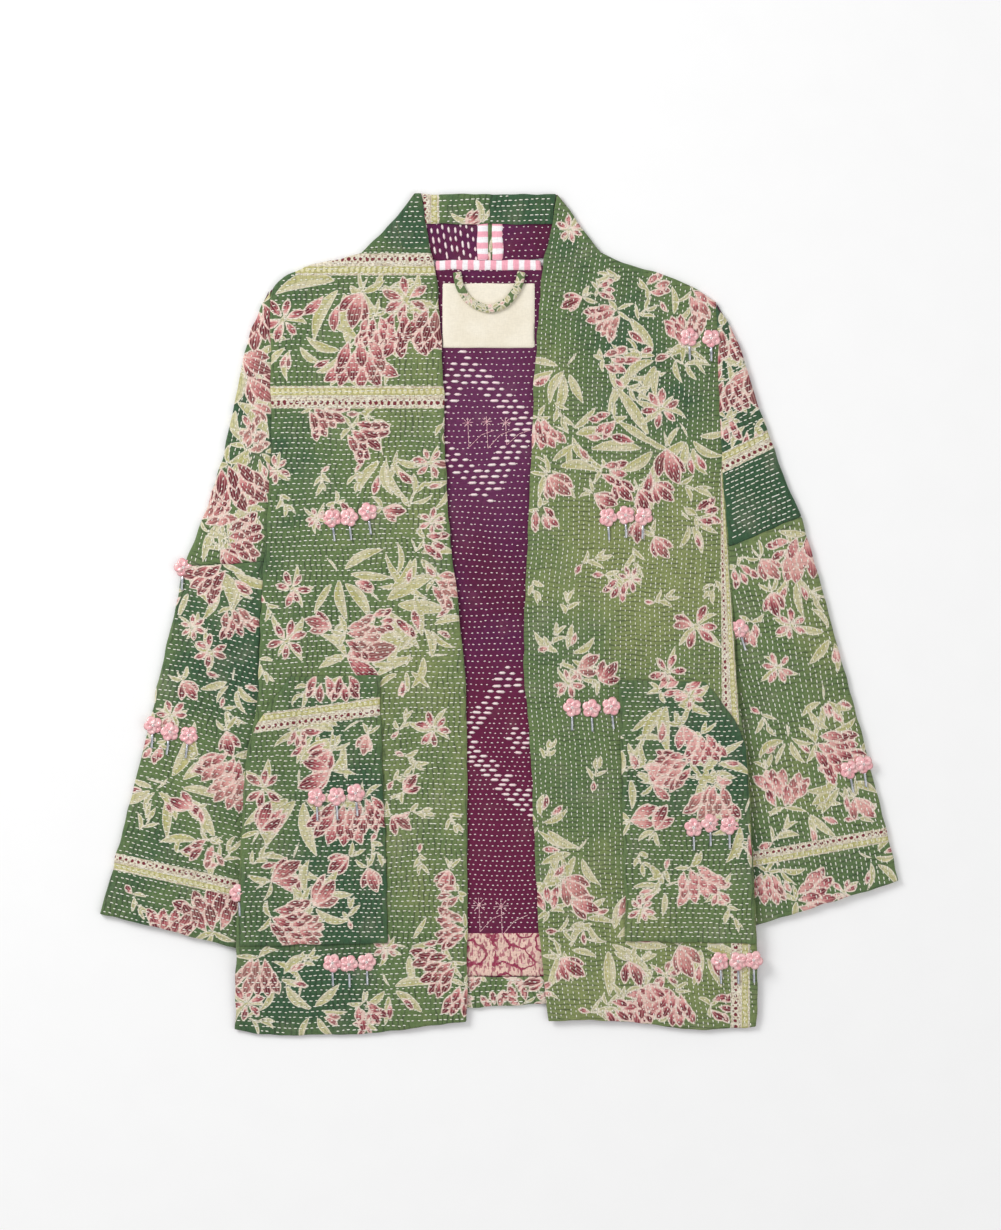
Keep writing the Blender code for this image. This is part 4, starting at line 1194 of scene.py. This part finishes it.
def painted_fold_shade(look, colour, strength):
    """A colour darkened with painted shade in the fine folds that the stitches pull across the rows."""
    # Painted shade: the colour turns dark green where a point lies in a fold between stitches
    fold = abs((look.field("beat") + look.waver(16, 0.55)).beat())
    deep = fold.step(0.24, 0.0) * look.noise(13).step(0.34, 0.6)
    return look.blend(deep * strength, colour, FOLD_SHADE_GREEN)


def bordered(look, colour):
    """The border bands over a print: a dotted maroon edge and a yellow-green stripe on cream."""
    band = look.field("band") + look.waver(3, 0.1)
    run = look.field("run") + look.waver(4, 0.9)
    cream = look.blend(look.noise(6).step(0.35, 0.7), BAND_CREAM, BAND_PALE)
    stripe = look.blend(look.dots(run, BEAD_EVERY, band, 0.5).step(2.0, 1.4), BAND_STRIPE, BAND_BEAD)
    cream = look.blend(abs(band - 0.5).step(0.34, 0.28), cream, stripe)
    maroon = (look.dots(run, DOT_EVERY, band, -0.5) + look.waver(5, 0.7)).step(1.9, 1.3)
    for middle in (-0.74, -0.26):
        speck = look.dots(run + DOT_EVERY / 2, DOT_EVERY, band, middle).step(1.1, 0.6)
        maroon = maroon.math("MAXIMUM", speck * look.noise(5).step(0.4, 0.55) * 0.8)
    cream = look.blend(maroon, cream, BAND_DOT)
    for middle in (-0.9, -0.08, 0.08, 0.92):
        broken = abs(band - middle).step(0.07, 0.03) * look.noise(2.5).step(0.42, 0.6)
        cream = look.blend(broken * 0.6, cream, BAND_LINE)
    return look.blend(abs(band).step(1.04, 0.98), colour, cream)


def purple_look():
    """The lining's worn purple, redder or paler where the tint says so."""
    look = Look("purple_inside")
    base = look.blend(look.noise(90, 3.0).step(0.38, 0.62), PLUM, VIOLET)
    base = look.blend(look.noise(24, 3.0).step(0.5, 0.72) * 0.6, base, PLUM_WORN)
    base = look.blend(look.noise(5, 2.0).step(0.55, 0.8) * 0.45, base, VIOLET_SLUB)
    tint = look.field("tint") + look.waver(30, 0.3)
    base = look.blend(tint.step(0.0, 1.0), base, VIOLET_PALE)
    return look.woven(look.blend(tint.step(0.0, -1.0), base, PLUM_RED), 0.05)


def brocade_look():
    """Pale pink scrolls on maroon, for the strip above the hem inside."""
    look = Look("brocade")
    inputs = {"Vector": look.place, "Scale": 1 / MM / BROCADE_SCROLL}
    reach = look.node("ShaderNodeTexVoronoi", "Distance", inputs, feature="F1") + look.waver(7, 0.14)
    colour = look.blend(abs((reach * 2.6).beat()).step(0.36, 0.43), BROCADE_PINK, BROCADE_MAROON)
    ticks = look.noise(1.7, 0.0, (1.0, 0.4, 1.0)).step(0.54, 0.62)
    return look.woven(look.blend(ticks * 0.8, colour, BROCADE_TICK))


def tape_look(name, axis):
    """White tape with pink bars across it."""
    look = Look(name)
    along = look.node("ShaderNodeSeparateXYZ", axis, {0: look.place}) / (TAPE_EVERY * MM)
    bar = abs((along + look.waver(6, 0.06)).beat())
    return look.woven(look.blend(bar.step(0.32, 0.2), TAPE_WHITE, TAPE_PINK), 0.0, 0.1)


def plain_look(name, first, second, size):
    """Thread or ribbon whose colour drifts between two."""
    look = Look(name)
    return look.woven(look.blend(look.noise(size, 3.0).step(0.35, 0.65), first, second), 0.0, 0.05)


def shiny_look(name, first, second, size, roughness, metal, coat):
    """Pearly plastic or silver-lined glass, with the colour drifting from piece to piece."""
    look = Look(name, roughness, 0.0, 0.6)
    colour = look.blend(look.noise(size).step(0.35, 0.65), first, second)
    return look.shade({"Metallic": metal, "Coat Weight": coat, "Coat Roughness": 0.12, "Base Color": colour})


# The jacket

for left_over in list(bpy.data.objects):
    bpy.data.objects.remove(left_over)
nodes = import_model()["nodes"]
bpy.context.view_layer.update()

PRINTED, PURPLE, BROCADE = print_look(), purple_look(), brocade_look()
OFF_WHITE = plain_look("thread", srgb(255, 254, 244), srgb(248, 245, 228), 9)
LINING_THREAD = plain_look("lining_thread", srgb(255, 240, 238), srgb(255, 228, 230), 9)
OLIVE_THREAD = plain_look("seam_thread", srgb(120, 138, 84), srgb(150, 160, 104), 9)
PINK_THREAD = plain_look("pink_thread", srgb(244, 200, 204), srgb(226, 164, 180), 9)
LABEL = plain_look("label_cloth", srgb(243, 235, 217), srgb(238, 229, 209), 20)
SEQUIN = shiny_look("sequin", srgb(244, 172, 178), srgb(252, 208, 206), 4, 0.28, 0.1, 0.7)
PEARL = shiny_look("pearl", srgb(240, 232, 226), srgb(226, 206, 206), 3, 0.2, 0.1, 0.8)
BUGLE = shiny_look("bugle_bead", srgb(214, 216, 222), srgb(170, 174, 186), 4, 0.18, 0.75, 0.6)
CLOTH_LOOKS = [PRINTED, PURPLE]


def edge_by_y(loop, pick):
    """An outline's least or greatest x at each y, smoothed, as a function."""
    fine = np.concatenate([np.linspace(a, b, 5)[:-1] for a, b in zip(loop, np.roll(loop, -1, 0))])
    rows = np.arange(fine[:, 1].min() + 4, fine[:, 1].max() - 4, 6.0)
    edge = blurred(np.array([pick(fine[np.abs(fine[:, 1] - y) < 5, 0]) for y in rows]), 3.0)
    return lambda y: np.interp(y, rows, edge)


# The nodes' upper and lower layers. A front or sleeve takes the outline of its panel's lower layer.
tops = {name: layers(node) for name, node in nodes.items() if name != "hanger_loop"}
bottoms = {"back": layers(nodes["back"], -1)}
for name in tops:
    if name.startswith(("front", "sleeve")):
        bottoms[name] = layers(nodes[name], -1)
        panel = 1 if name.startswith("front") else 0
        tops[name][0].loop = bottoms[name][panel].loop
INNER_LEFT = edge_by_y(tops["front_left"][0].loop, np.min)
INNER_RIGHT = edge_by_y(tops["front_right"][0].loop, np.max)


def declare(loops):
    """Works out a piece's width and height from the outlines of its layers, the width narrowed where it
    fills little of its rectangle, and keeps neither.
    """
    wide = max(np.ptp(loop[:, 0]) for loop in loops)
    area = sum(plan_area(loop) for loop in loops)
    high = max(np.ptp(loops[0][:, 1]), area / wide / MOST_FILLED)
    if area < LEAST_FILLED * wide * high:
        wide = area / (NARROWED_FILL * high)


def sew(name, shells, looks, slot, loops, node=None):
    piece = shells.build(name, looks, slot)
    if node:
        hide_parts(node)
    declare(loops)


def under(cloth, depth=WALL, fold=None):
    """Heights of a panel's far side, which drops to the floor where fold says that its edge is folded."""
    def heights(x, y, rim):
        middle = cloth.layer.height(x, y) + cloth.rise
        level = middle - cloth.layer.side * np.where(rim, RIM_DROP, depth)
        folded = rim & fold(x, y) if fold else np.zeros(len(x), bool)
        return np.where(folded, FOLD_LEVEL, np.maximum(level, LEAST_LEVEL)), folded
    return heights


def outside(loop):
    """A test for points that are clear of an outline."""
    def test(x, y):
        gap, inside = to_loop(loop[::2], x, y)
        return ~inside & (gap > 1.5)
    return test


def make_pockets():
    pockets = {}
    for name, seed in (("pocket_right", 31), ("pocket_left", 37)):
        cloth = Cloth(name, tops[name][0], seed, pitch=4.4, rise=-0.6)
        shells = Shells().close(cloth.face(), under(cloth, depth=1.6), 1, (0, 0, 0))
        rests = name.replace("pocket", "front") + "_cloth"
        sew(name + "_cloth", shells, CLOTH_LOOKS, "green_print", [cloth.layer.loop], name)
        grains(name + "_stitches", cloth.dashes(), THREAD_WIDE, OFF_WHITE)
        pockets[name] = cloth
    return pockets


def collar_fold(inner, sign):
    """A test for the stretch of a front's outline where the collar folds back."""
    return lambda x, y: (y > COLLAR_FROM) & (sign * (x - inner(y)) > COLLAR_IN)


def make_front(name, cloth, inside, fold, pocket, dash, bold):
    """A front with the inside of its collar. Bold is the collar's stitches: every, length, width."""
    shells = Shells().close(cloth.face(), under(cloth, fold=fold), 1, (0, 0, 1))
    face = inside.face(paint=unprinted)
    shells.close(face, under(inside, depth=1.9), 1, (1, 0, 0), spacing=2.4, paint=scattered)
    loops = [cloth.layer.loop, inside.layer.loop]
    sew(name + "_cloth", shells, CLOTH_LOOKS, "green_print", loops, name)
    grains(name + "_stitches", cloth.dashes(outside(pocket.layer.loop), dash=dash), THREAD_WIDE, OFF_WHITE)
    every, length, width = bold
    grains(name + "_collar_stitches", inside.dashes(every=every, dash=length), width, LINING_THREAD)


def make_fronts(pockets):
    main, collar = tops["front_right"][:2]
    right = Cloth("front_right", main, 11, 0.9)
    inside = Cloth("collar", collar, 14, 98.0, 5.0)
    fold = collar_fold(INNER_RIGHT, -1)
    make_front("front_right", right, inside, fold, pockets["pocket_right"], DASH, (8.8, 6.6, 2.2))
    main, collar = tops["front_left"][:2]
    left = Cloth("front_left", main, 17, 90.0, 4.5, drift=lambda y: -INNER_LEFT(y), every=4.3)
    inside = Cloth("collar", collar, 20, 0.0, 5.2)
    fold = collar_fold(INNER_LEFT, 1)
    make_front("front_left", left, inside, fold, pockets["pocket_left"], 2.6, (5.6, 2.2, 1.1))
    return {"front_right": right, "front_left": left}


def tucked(loop, over, way):
    """An outline moved sideways under another one where the two meet."""
    gap = to_loop(over, *loop.T)[0]
    shift = way * TUCK * np.clip(2 - gap / 3, 0, 1)
    return np.stack([loop[:, 0] + shift, loop[:, 1]], 1)


def sleeve_fold(loop, lower):
    """A test for a sleeve's folded edges, which are all but the open end of a lower piece."""
    ahead = np.roll(loop, -1, 0) - loop
    top = loop[:, 1].min() + CUFF_HIGH

    def test(x, y):
        near = np.array([np.argmin(np.hypot(*(loop - (a, b)).T)) for a, b in zip(x, y)])
        level = ahead[near, 0] / np.maximum(np.hypot(*ahead[near].T), 1e-6)
        return ~(lower & (level > CUFF_LEVEL) & (y < top))
    return test


def make_sleeves():
    sleeves = {}
    for name, seed, angle, slot, dash in (
            ("sleeve_right_upper", 41, 76.0, "green_print", DASH),
            ("sleeve_right_lower", 43, -13.0, "green_print", DASH),
            ("sleeve_left_upper", 47, 24.0, "green_patch", PATCH_DASH),
            ("sleeve_left_lower", 53, 102.0, "green_print", DASH)):
        front, way = ("front_right", 1) if "right" in name else ("front_left", -1)
        main = tops[name][0]
        lower = bottoms[name][0]
        loop = main.loop = tucked(main.loop, tops[front][0].loop, way)
        cloth = Cloth(name, main, seed, angle)
        below = Cloth(name, lower, seed + 1, angle, relief=UNDER_RELIEF)
        fold = sleeve_fold(loop, "lower" in name)
        shells = Shells().close(cloth.face(), under(cloth, fold=fold), 1, (0, 0, 1))
        shells.close(below.face(UNDER_FINE, scattered), under(below, depth=1.4), -1, (0, 0, 1))
        sew(name + "_cloth", shells, CLOTH_LOOKS, slot, [loop, lower.loop], name)
        grains(name + "_stitches", cloth.dashes(dash=dash), THREAD_WIDE, OFF_WHITE)
        grains(name + "_under_stitches", below.dashes(), THREAD_WIDE, OFF_WHITE, side=-1)
        sleeves[name] = cloth
    return sleeves


def gap_loop(low, high):
    """The outline of what shows of the back between the fronts, a little under both."""
    ys = np.arange(low, high + 1, 4.0)
    left = np.stack([INNER_RIGHT(ys) - GAP_SPREAD, ys], 1)
    right = np.stack([INNER_LEFT(ys) + GAP_SPREAD, ys], 1)
    return np.concatenate([right, left[::-1]])


def bold_zone(x, y):
    """Rings of long stitches inside the back, round leaning diamonds."""
    inside = np.zeros(len(x), bool)
    turn = np.linalg.inv(np.array(DIAMOND_SIDES).T)
    for middle_x, middle_y, hollow, heart in DIAMONDS:
        reach = np.abs(turn @ np.stack([x - middle_x, y - middle_y])).max(0)
        inside |= (reach < 1.0) & (reach > hollow) | (reach < heart)
    return inside


def star_strokes(x, y, drop, arm):
    """The strokes of a star and of its zigzag stem, each as two ends."""
    for turn in np.radians(STAR_TURNS):
        yield beyond(x, y, turn, -arm), beyond(x, y, turn, arm)
    stem = (x, y), (x + 1, y - drop), (x + 12, y - 0.5 * drop), (x + 24, y - 0.3 * drop)
    yield from zip(stem, stem[1:])


def make_stars(lining):
    """Fine pink stars on zigzag stems, worked on the lining."""
    starts, ends = [], []
    for star in STARS:
        for stroke in star_strokes(*star):
            length, at = walker(np.array(stroke, float))
            x, y = at(np.linspace(0, length, max(1, round(length / STAR_STITCH)) + 1)).T
            points = np.stack([x, y, lining.height(x, y) + 0.25], 1)
            starts.append(points[:-1])
            ends.append(points[1:])
    grains("star_embroidery", [np.concatenate(starts), np.concatenate(ends)], 0.7, PINK_THREAD)


def make_back():
    """The back's printed outside, which lies on the floor."""
    down, up = bottoms["back"][0], tops["back"][0]
    outer = Cloth("back", down, 61, relief=UNDER_RELIEF)

    def below_lining(x, y, rim):
        return np.where(rim, 1.4, up.height(x, y) - 1.0), np.zeros(len(x), bool)
    shells = Shells().close(outer.face(along=4.0, paint=scattered), below_lining, -1, (0, 0, 1))
    sew("back_cloth", shells, CLOTH_LOOKS, "green_print", [down.loop], "back")
    grains("back_outer_stitches", outer.dashes(), THREAD_WIDE, OFF_WHITE, side=-1)


def make_lining():
    """The purple inside of the back, as far as it shows, with small and long stitches."""
    up, shown = tops["back"][0], gap_loop(*LINING_ENDS)
    loops = up.loop, shown
    lining = Cloth("back", up, 67, pitch=5.35, relief=0.6, loops=loops, every=5.0, closer=(-77, 4.4))
    face = lining.face(along=2.6, paint=unprinted)
    shells = Shells().close(face, under(lining, depth=1.2), 1, (1, 1, 1))
    sew("back_lining", shells, CLOTH_LOOKS, "purple_inside", [shown])

    def small(x, y):
        return ~bold_zone(x, y) & (y > STRIP_ENDS[1])
    grains("back_stitches", lining.dashes(small, every=4.9, dash=2.3), 1.1, LINING_THREAD)
    grains("back_bold_stitches", lining.dashes(bold_zone, every=9.3, dash=7.8), 2.6, LINING_THREAD)
    make_stars(lining)


def make_strips():
    """The brocade strip above the hem, and the collar's printed seam between its tapes."""
    up, shown = tops["back"][0], gap_loop(*STRIP_ENDS)
    strip = Cloth("back", up, 71, pitch=5.5, relief=0.4, rise=0.35, loops=(up.loop, shown))
    face = strip.face(along=2.2, paint=unprinted)
    shells = Shells().close(face, under(strip, depth=0.9), 1, (0, 0, 0))
    sew("back_brocade", shells, [BROCADE], "purple_inside", [shown])
    x0, y0, x1, y1 = CB_SEAM_BOX
    box = np.array([(x0, y0), (x1, y0), (x1, y1), (x0, y1)], float)
    seam = Cloth("cb_seam", tops["front_right"][1], 113, relief=0.2, rise=0.5, loops=(box,))
    face = seam.face(along=1.6, paint=scattered)
    shells = Shells().close(face, under(seam, depth=0.5), 1, (0, 0, 0))
    sew("cb_seam_cloth", shells, [PRINTED], "green_print", [box])
    grains("brocade_stitches", strip.dashes(every=7.0, dash=2.6, step=2), 0.9, PINK_THREAD)


def widened(loop, by):
    """An outline pushed out by about a length on all four sides."""
    middle, half = 0.5 * (loop.max(0) + loop.min(0)), 0.5 * np.ptp(loop, axis=0)
    return middle + (loop - middle) * (1 + by / half)


def make_trims():
    """The hem, the collar's facings, the tapes and the label."""
    for name, slot, look, seed, rests in (
            ("back_hem", "green_print", PRINTED, 73, "back_cloth"),
            ("collar_facing_right", "green_print", PRINTED, 79, "front_right_cloth"),
            ("collar_facing_left", "green_patch", PRINTED, 83, "front_left_cloth"),
            ("neck_tape", "striped_tape", tape_look("neck_tape_bars", 0), 89, "back_lining"),
            ("cb_tape_right", "striped_tape", tape_look("cb_tape_bars_right", 1), 97, "front_right_cloth"),
            ("cb_tape_left", "striped_tape", tape_look("cb_tape_bars_left", 1), 101, "front_left_cloth"),
            ("label", "label_cloth", LABEL, 103, "back_lining")):
        layer = tops[name][0]
        if name.startswith("collar"):
            layer.loop = widened(layer.loop, FACING_SPREAD)
        if name == "label":
            layer.loop = smooth_loop(layer.raw, LABEL_UNEVEN)
        cloth = Cloth(name, layer, seed, relief=0.35 if look is PRINTED else 0.08)
        paint = scattered if name == "back_hem" else printed
        shells = Shells().close(cloth.face(along=2.0, paint=paint), under(cloth, depth=1.0), 1, (0, 0, 0))
        sew(name + "_cloth", shells, [look], slot, [layer.loop], name)
        if look is PRINTED:
            grains(name + "_stitches", cloth.dashes(margin=1.6), THREAD_WIDE, OFF_WHITE)


def make_loop():
    """The rouleau loop, its CAD tube rounded off and printed."""
    piece = bpy.data.objects.new("hanger_loop_cloth", nodes["hanger_loop"].data.copy())
    bpy.context.collection.objects.link(piece)
    piece.modifiers.new("weld", "WELD").merge_threshold = 0.01 * MM
    piece.modifiers.new("round", "SUBSURF").levels = 2
    rounded = bpy.data.meshes.new_from_object(piece.evaluated_get(bpy.context.evaluated_depsgraph_get()))
    piece.modifiers.clear()
    piece.data = rounded
    rounded.materials.clear()
    rounded.materials.append(PRINTED)
    rounded.shade_smooth()
    x, y = mesh_points(rounded)[:, :2].T
    paint = Paint(x, y, 107)
    for spot in paint.rng.uniform((x.min(), y.min()), (x.max(), y.max()), (LOOP_SPRIGS, 2)):
        paint.sprig(*spot, paint.rng.uniform(0, FULL_TURN), LOOP_SPRIG)
    paint.tints(0.1)
    put_fields(rounded, paint.fields)
    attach(piece, "root")
    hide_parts("hanger_loop")


def revolved(profile, count):
    """Points and triangles of a closed ring of revolution from a closed profile of radius and height."""
    turns = FULL_TURN * np.arange(count) / count
    rings = [np.stack([r * np.cos(turns), r * np.sin(turns), np.full(count, h)], 1) for r, h in profile]
    triangles = []
    for i in range(len(profile)):
        here, ahead = i * count + np.arange(count), ((i + 1) % len(profile)) * count + np.arange(count)
        triangles += [np.stack([here, np.roll(here, -1), ahead], 1),
                      np.stack([np.roll(here, -1), np.roll(ahead, -1), ahead], 1)]
    return np.concatenate(rings), np.concatenate(triangles)


def turned(points, axis_turn, tilt=0.0):
    """Points tilted up about y, then turned about z."""
    c, s = math.cos(tilt), math.sin(tilt)
    points = points @ np.array([[c, 0, s], [0, 1, 0], [-s, 0, c]])
    c, s = math.cos(axis_turn), math.sin(axis_turn)
    return points @ np.array([[c, s, 0], [-s, c, 0], [0, 0, 1]])


def cloth_at(cloths, x, y):
    """The first cloth that holds a point, or the one nearest to it."""
    def gap_to(cloth):
        gap, inside = to_loop(cloth.layer.loop, np.array([x]), np.array([y]))
        return 0.0 if inside[0] else gap[0]
    return min(cloths, key=gap_to)


def make_flowers(cloths):
    """Flowers of five cupped sequins with a pearl in the middle, each with a bugle bead below it."""
    rng = np.random.default_rng(109)
    cup, cup_faces = revolved(CUP, 13)
    pearl, pearl_faces = revolved(PEARL_BEAD, 12)
    tube, tube_faces = revolved(BUGLE_TUBE, 10)
    rod = tube @ np.array([[1, 0, 0], [0, 0, -1], [0, 1, 0.0]])
    sequins, pearls, bugles = Shells(), Shells(), Shells()
    for x, y, lean in FLOWERS:
        home = cloth_at(cloths, x, y)
        level = home.height(np.array([float(x)]), np.array([float(y)]))[0]
        start = rng.uniform(0, FULL_TURN)
        for k in range(CUP_COUNT):
            way = start + FULL_TURN * k / CUP_COUNT + rng.normal(0, 0.08)
            disc = turned(cup, way, CUP_TILT - 0.05 * rng.random())
            sequins.add(disc + np.array([*beyond(x, y, way, CUP_OUT), level + 0.75 + 0.12 * k]), cup_faces)
        pearls.add(pearl + np.array([x, y, level + 2.0]), pearl_faces)
        lean = math.radians(lean)
        middle = np.array(beyond(x, y, lean - 0.5 * math.pi, BUGLE_DOWN))
        level = home.height(middle[:1], middle[1:])[0]
        bugles.add(turned(rod, lean) + np.array([*middle, level + 1.0]), tube_faces)
    sequins.build("flower_sequins", [SEQUIN], "sequin")
    pearls.build("flower_pearls", [PEARL], "sequin")
    bugles.build("bugle_beads", [BUGLE], "bugle_bead")


def seam_stitches(cloth, path):
    """Ends of machine stitches along a path on a cloth."""
    length, at = walker(path)
    middle = np.arange(SEAM_EVERY, length - SEAM_EVERY, SEAM_EVERY)
    gap, inside = to_loop(cloth.layer.loop, *at(middle).T)
    middle = middle[inside & (gap > 3)]
    ends = []
    for half in (-0.5 * SEAM_DASH, 0.5 * SEAM_DASH):
        x, y = at(middle + half).T
        ends.append(np.stack([x, y, cloth.height(x, y) + 0.05], 1))
    return ends


def make_seams(fronts):
    """Machine stitches along the fronts' turned edges."""
    ys = np.arange(*SEAM_ENDS, 6.0)
    edges = {"front_right": INNER_RIGHT(ys) - TURNED_EDGE, "front_left": INNER_LEFT(ys) + TURNED_EDGE}
    pairs = [seam_stitches(fronts[name], np.stack([xs, ys], 1)) for name, xs in edges.items()]
    grains("seam_stitches", [np.concatenate(ends) for ends in zip(*pairs)], SEAM_WIDE, OLIVE_THREAD)


# The studio, in metres

FLOOR_WIDE = 14
FLOOR_LEVEL = -0.0004
WORLD_LIGHT = 0.55
SENSOR = 36
CAMERA_HIGH = 8.0
LIGHTS = (("key", (-1.8, 1.5, 1.8), 1.3, 52), ("fill", (1.8, -0.8, 2.4), 2.4, 16))


def make_floor():
    """A pale floor just below the cloth."""
    bpy.ops.mesh.primitive_plane_add(size=FLOOR_WIDE, location=(0, 0, FLOOR_LEVEL))
    floor = bpy.context.object
    floor.name = "floor"
    look = Look("floor_paper", 0.9, 0.0)
    colour = look.blend(look.noise(40), PAPER, PAPER_PALE)
    floor.data.materials.append(look.shade({"Base Color": colour}))


def make_lights():
    """A soft key light from the upper left, a fill light, and a white world."""
    for name, place, size, power in LIGHTS:
        light = bpy.data.lights.new(name, "AREA")
        light.size, light.energy = size, power
        lamp = bpy.data.objects.new(name, light)
        bpy.context.collection.objects.link(lamp)
        x, y, z = lamp.location = place
        lamp.rotation_euler = math.atan2(math.hypot(x, y), z), 0.0, math.atan2(x, -y)
    world = bpy.data.worlds.new("studio")
    world.use_nodes = True
    background = world.node_tree.nodes["Background"].inputs
    background["Color"].default_value = (1.0, 1.0, 1.0, 1)
    background["Strength"].default_value = WORLD_LIGHT
    bpy.context.scene.world = world
    bpy.context.scene.view_settings.view_transform = "Standard"


def make_camera():
    """The photo's camera, straight above."""
    camera = bpy.data.cameras.new("photo")
    camera.sensor_width = SENSOR
    camera.lens = SENSOR * CAMERA_HIGH / (PHOTO_HIGH * PIXEL * MM)
    camera.clip_end = 50
    eye = bpy.data.objects.new("photo", camera)
    bpy.context.collection.objects.link(eye)
    eye.location = (PHOTO_MIDDLE[0] * MM, PHOTO_MIDDLE[1] * MM, CAMERA_HIGH)
    bpy.context.scene.camera = eye


pockets = make_pockets()
fronts = make_fronts(pockets)
sleeves = make_sleeves()
make_back()
make_lining()
make_strips()
make_trims()
make_loop()
make_flowers([*pockets.values(), *fronts.values(), *sleeves.values()])
make_seams(fronts)
make_floor()
make_lights()
make_camera()
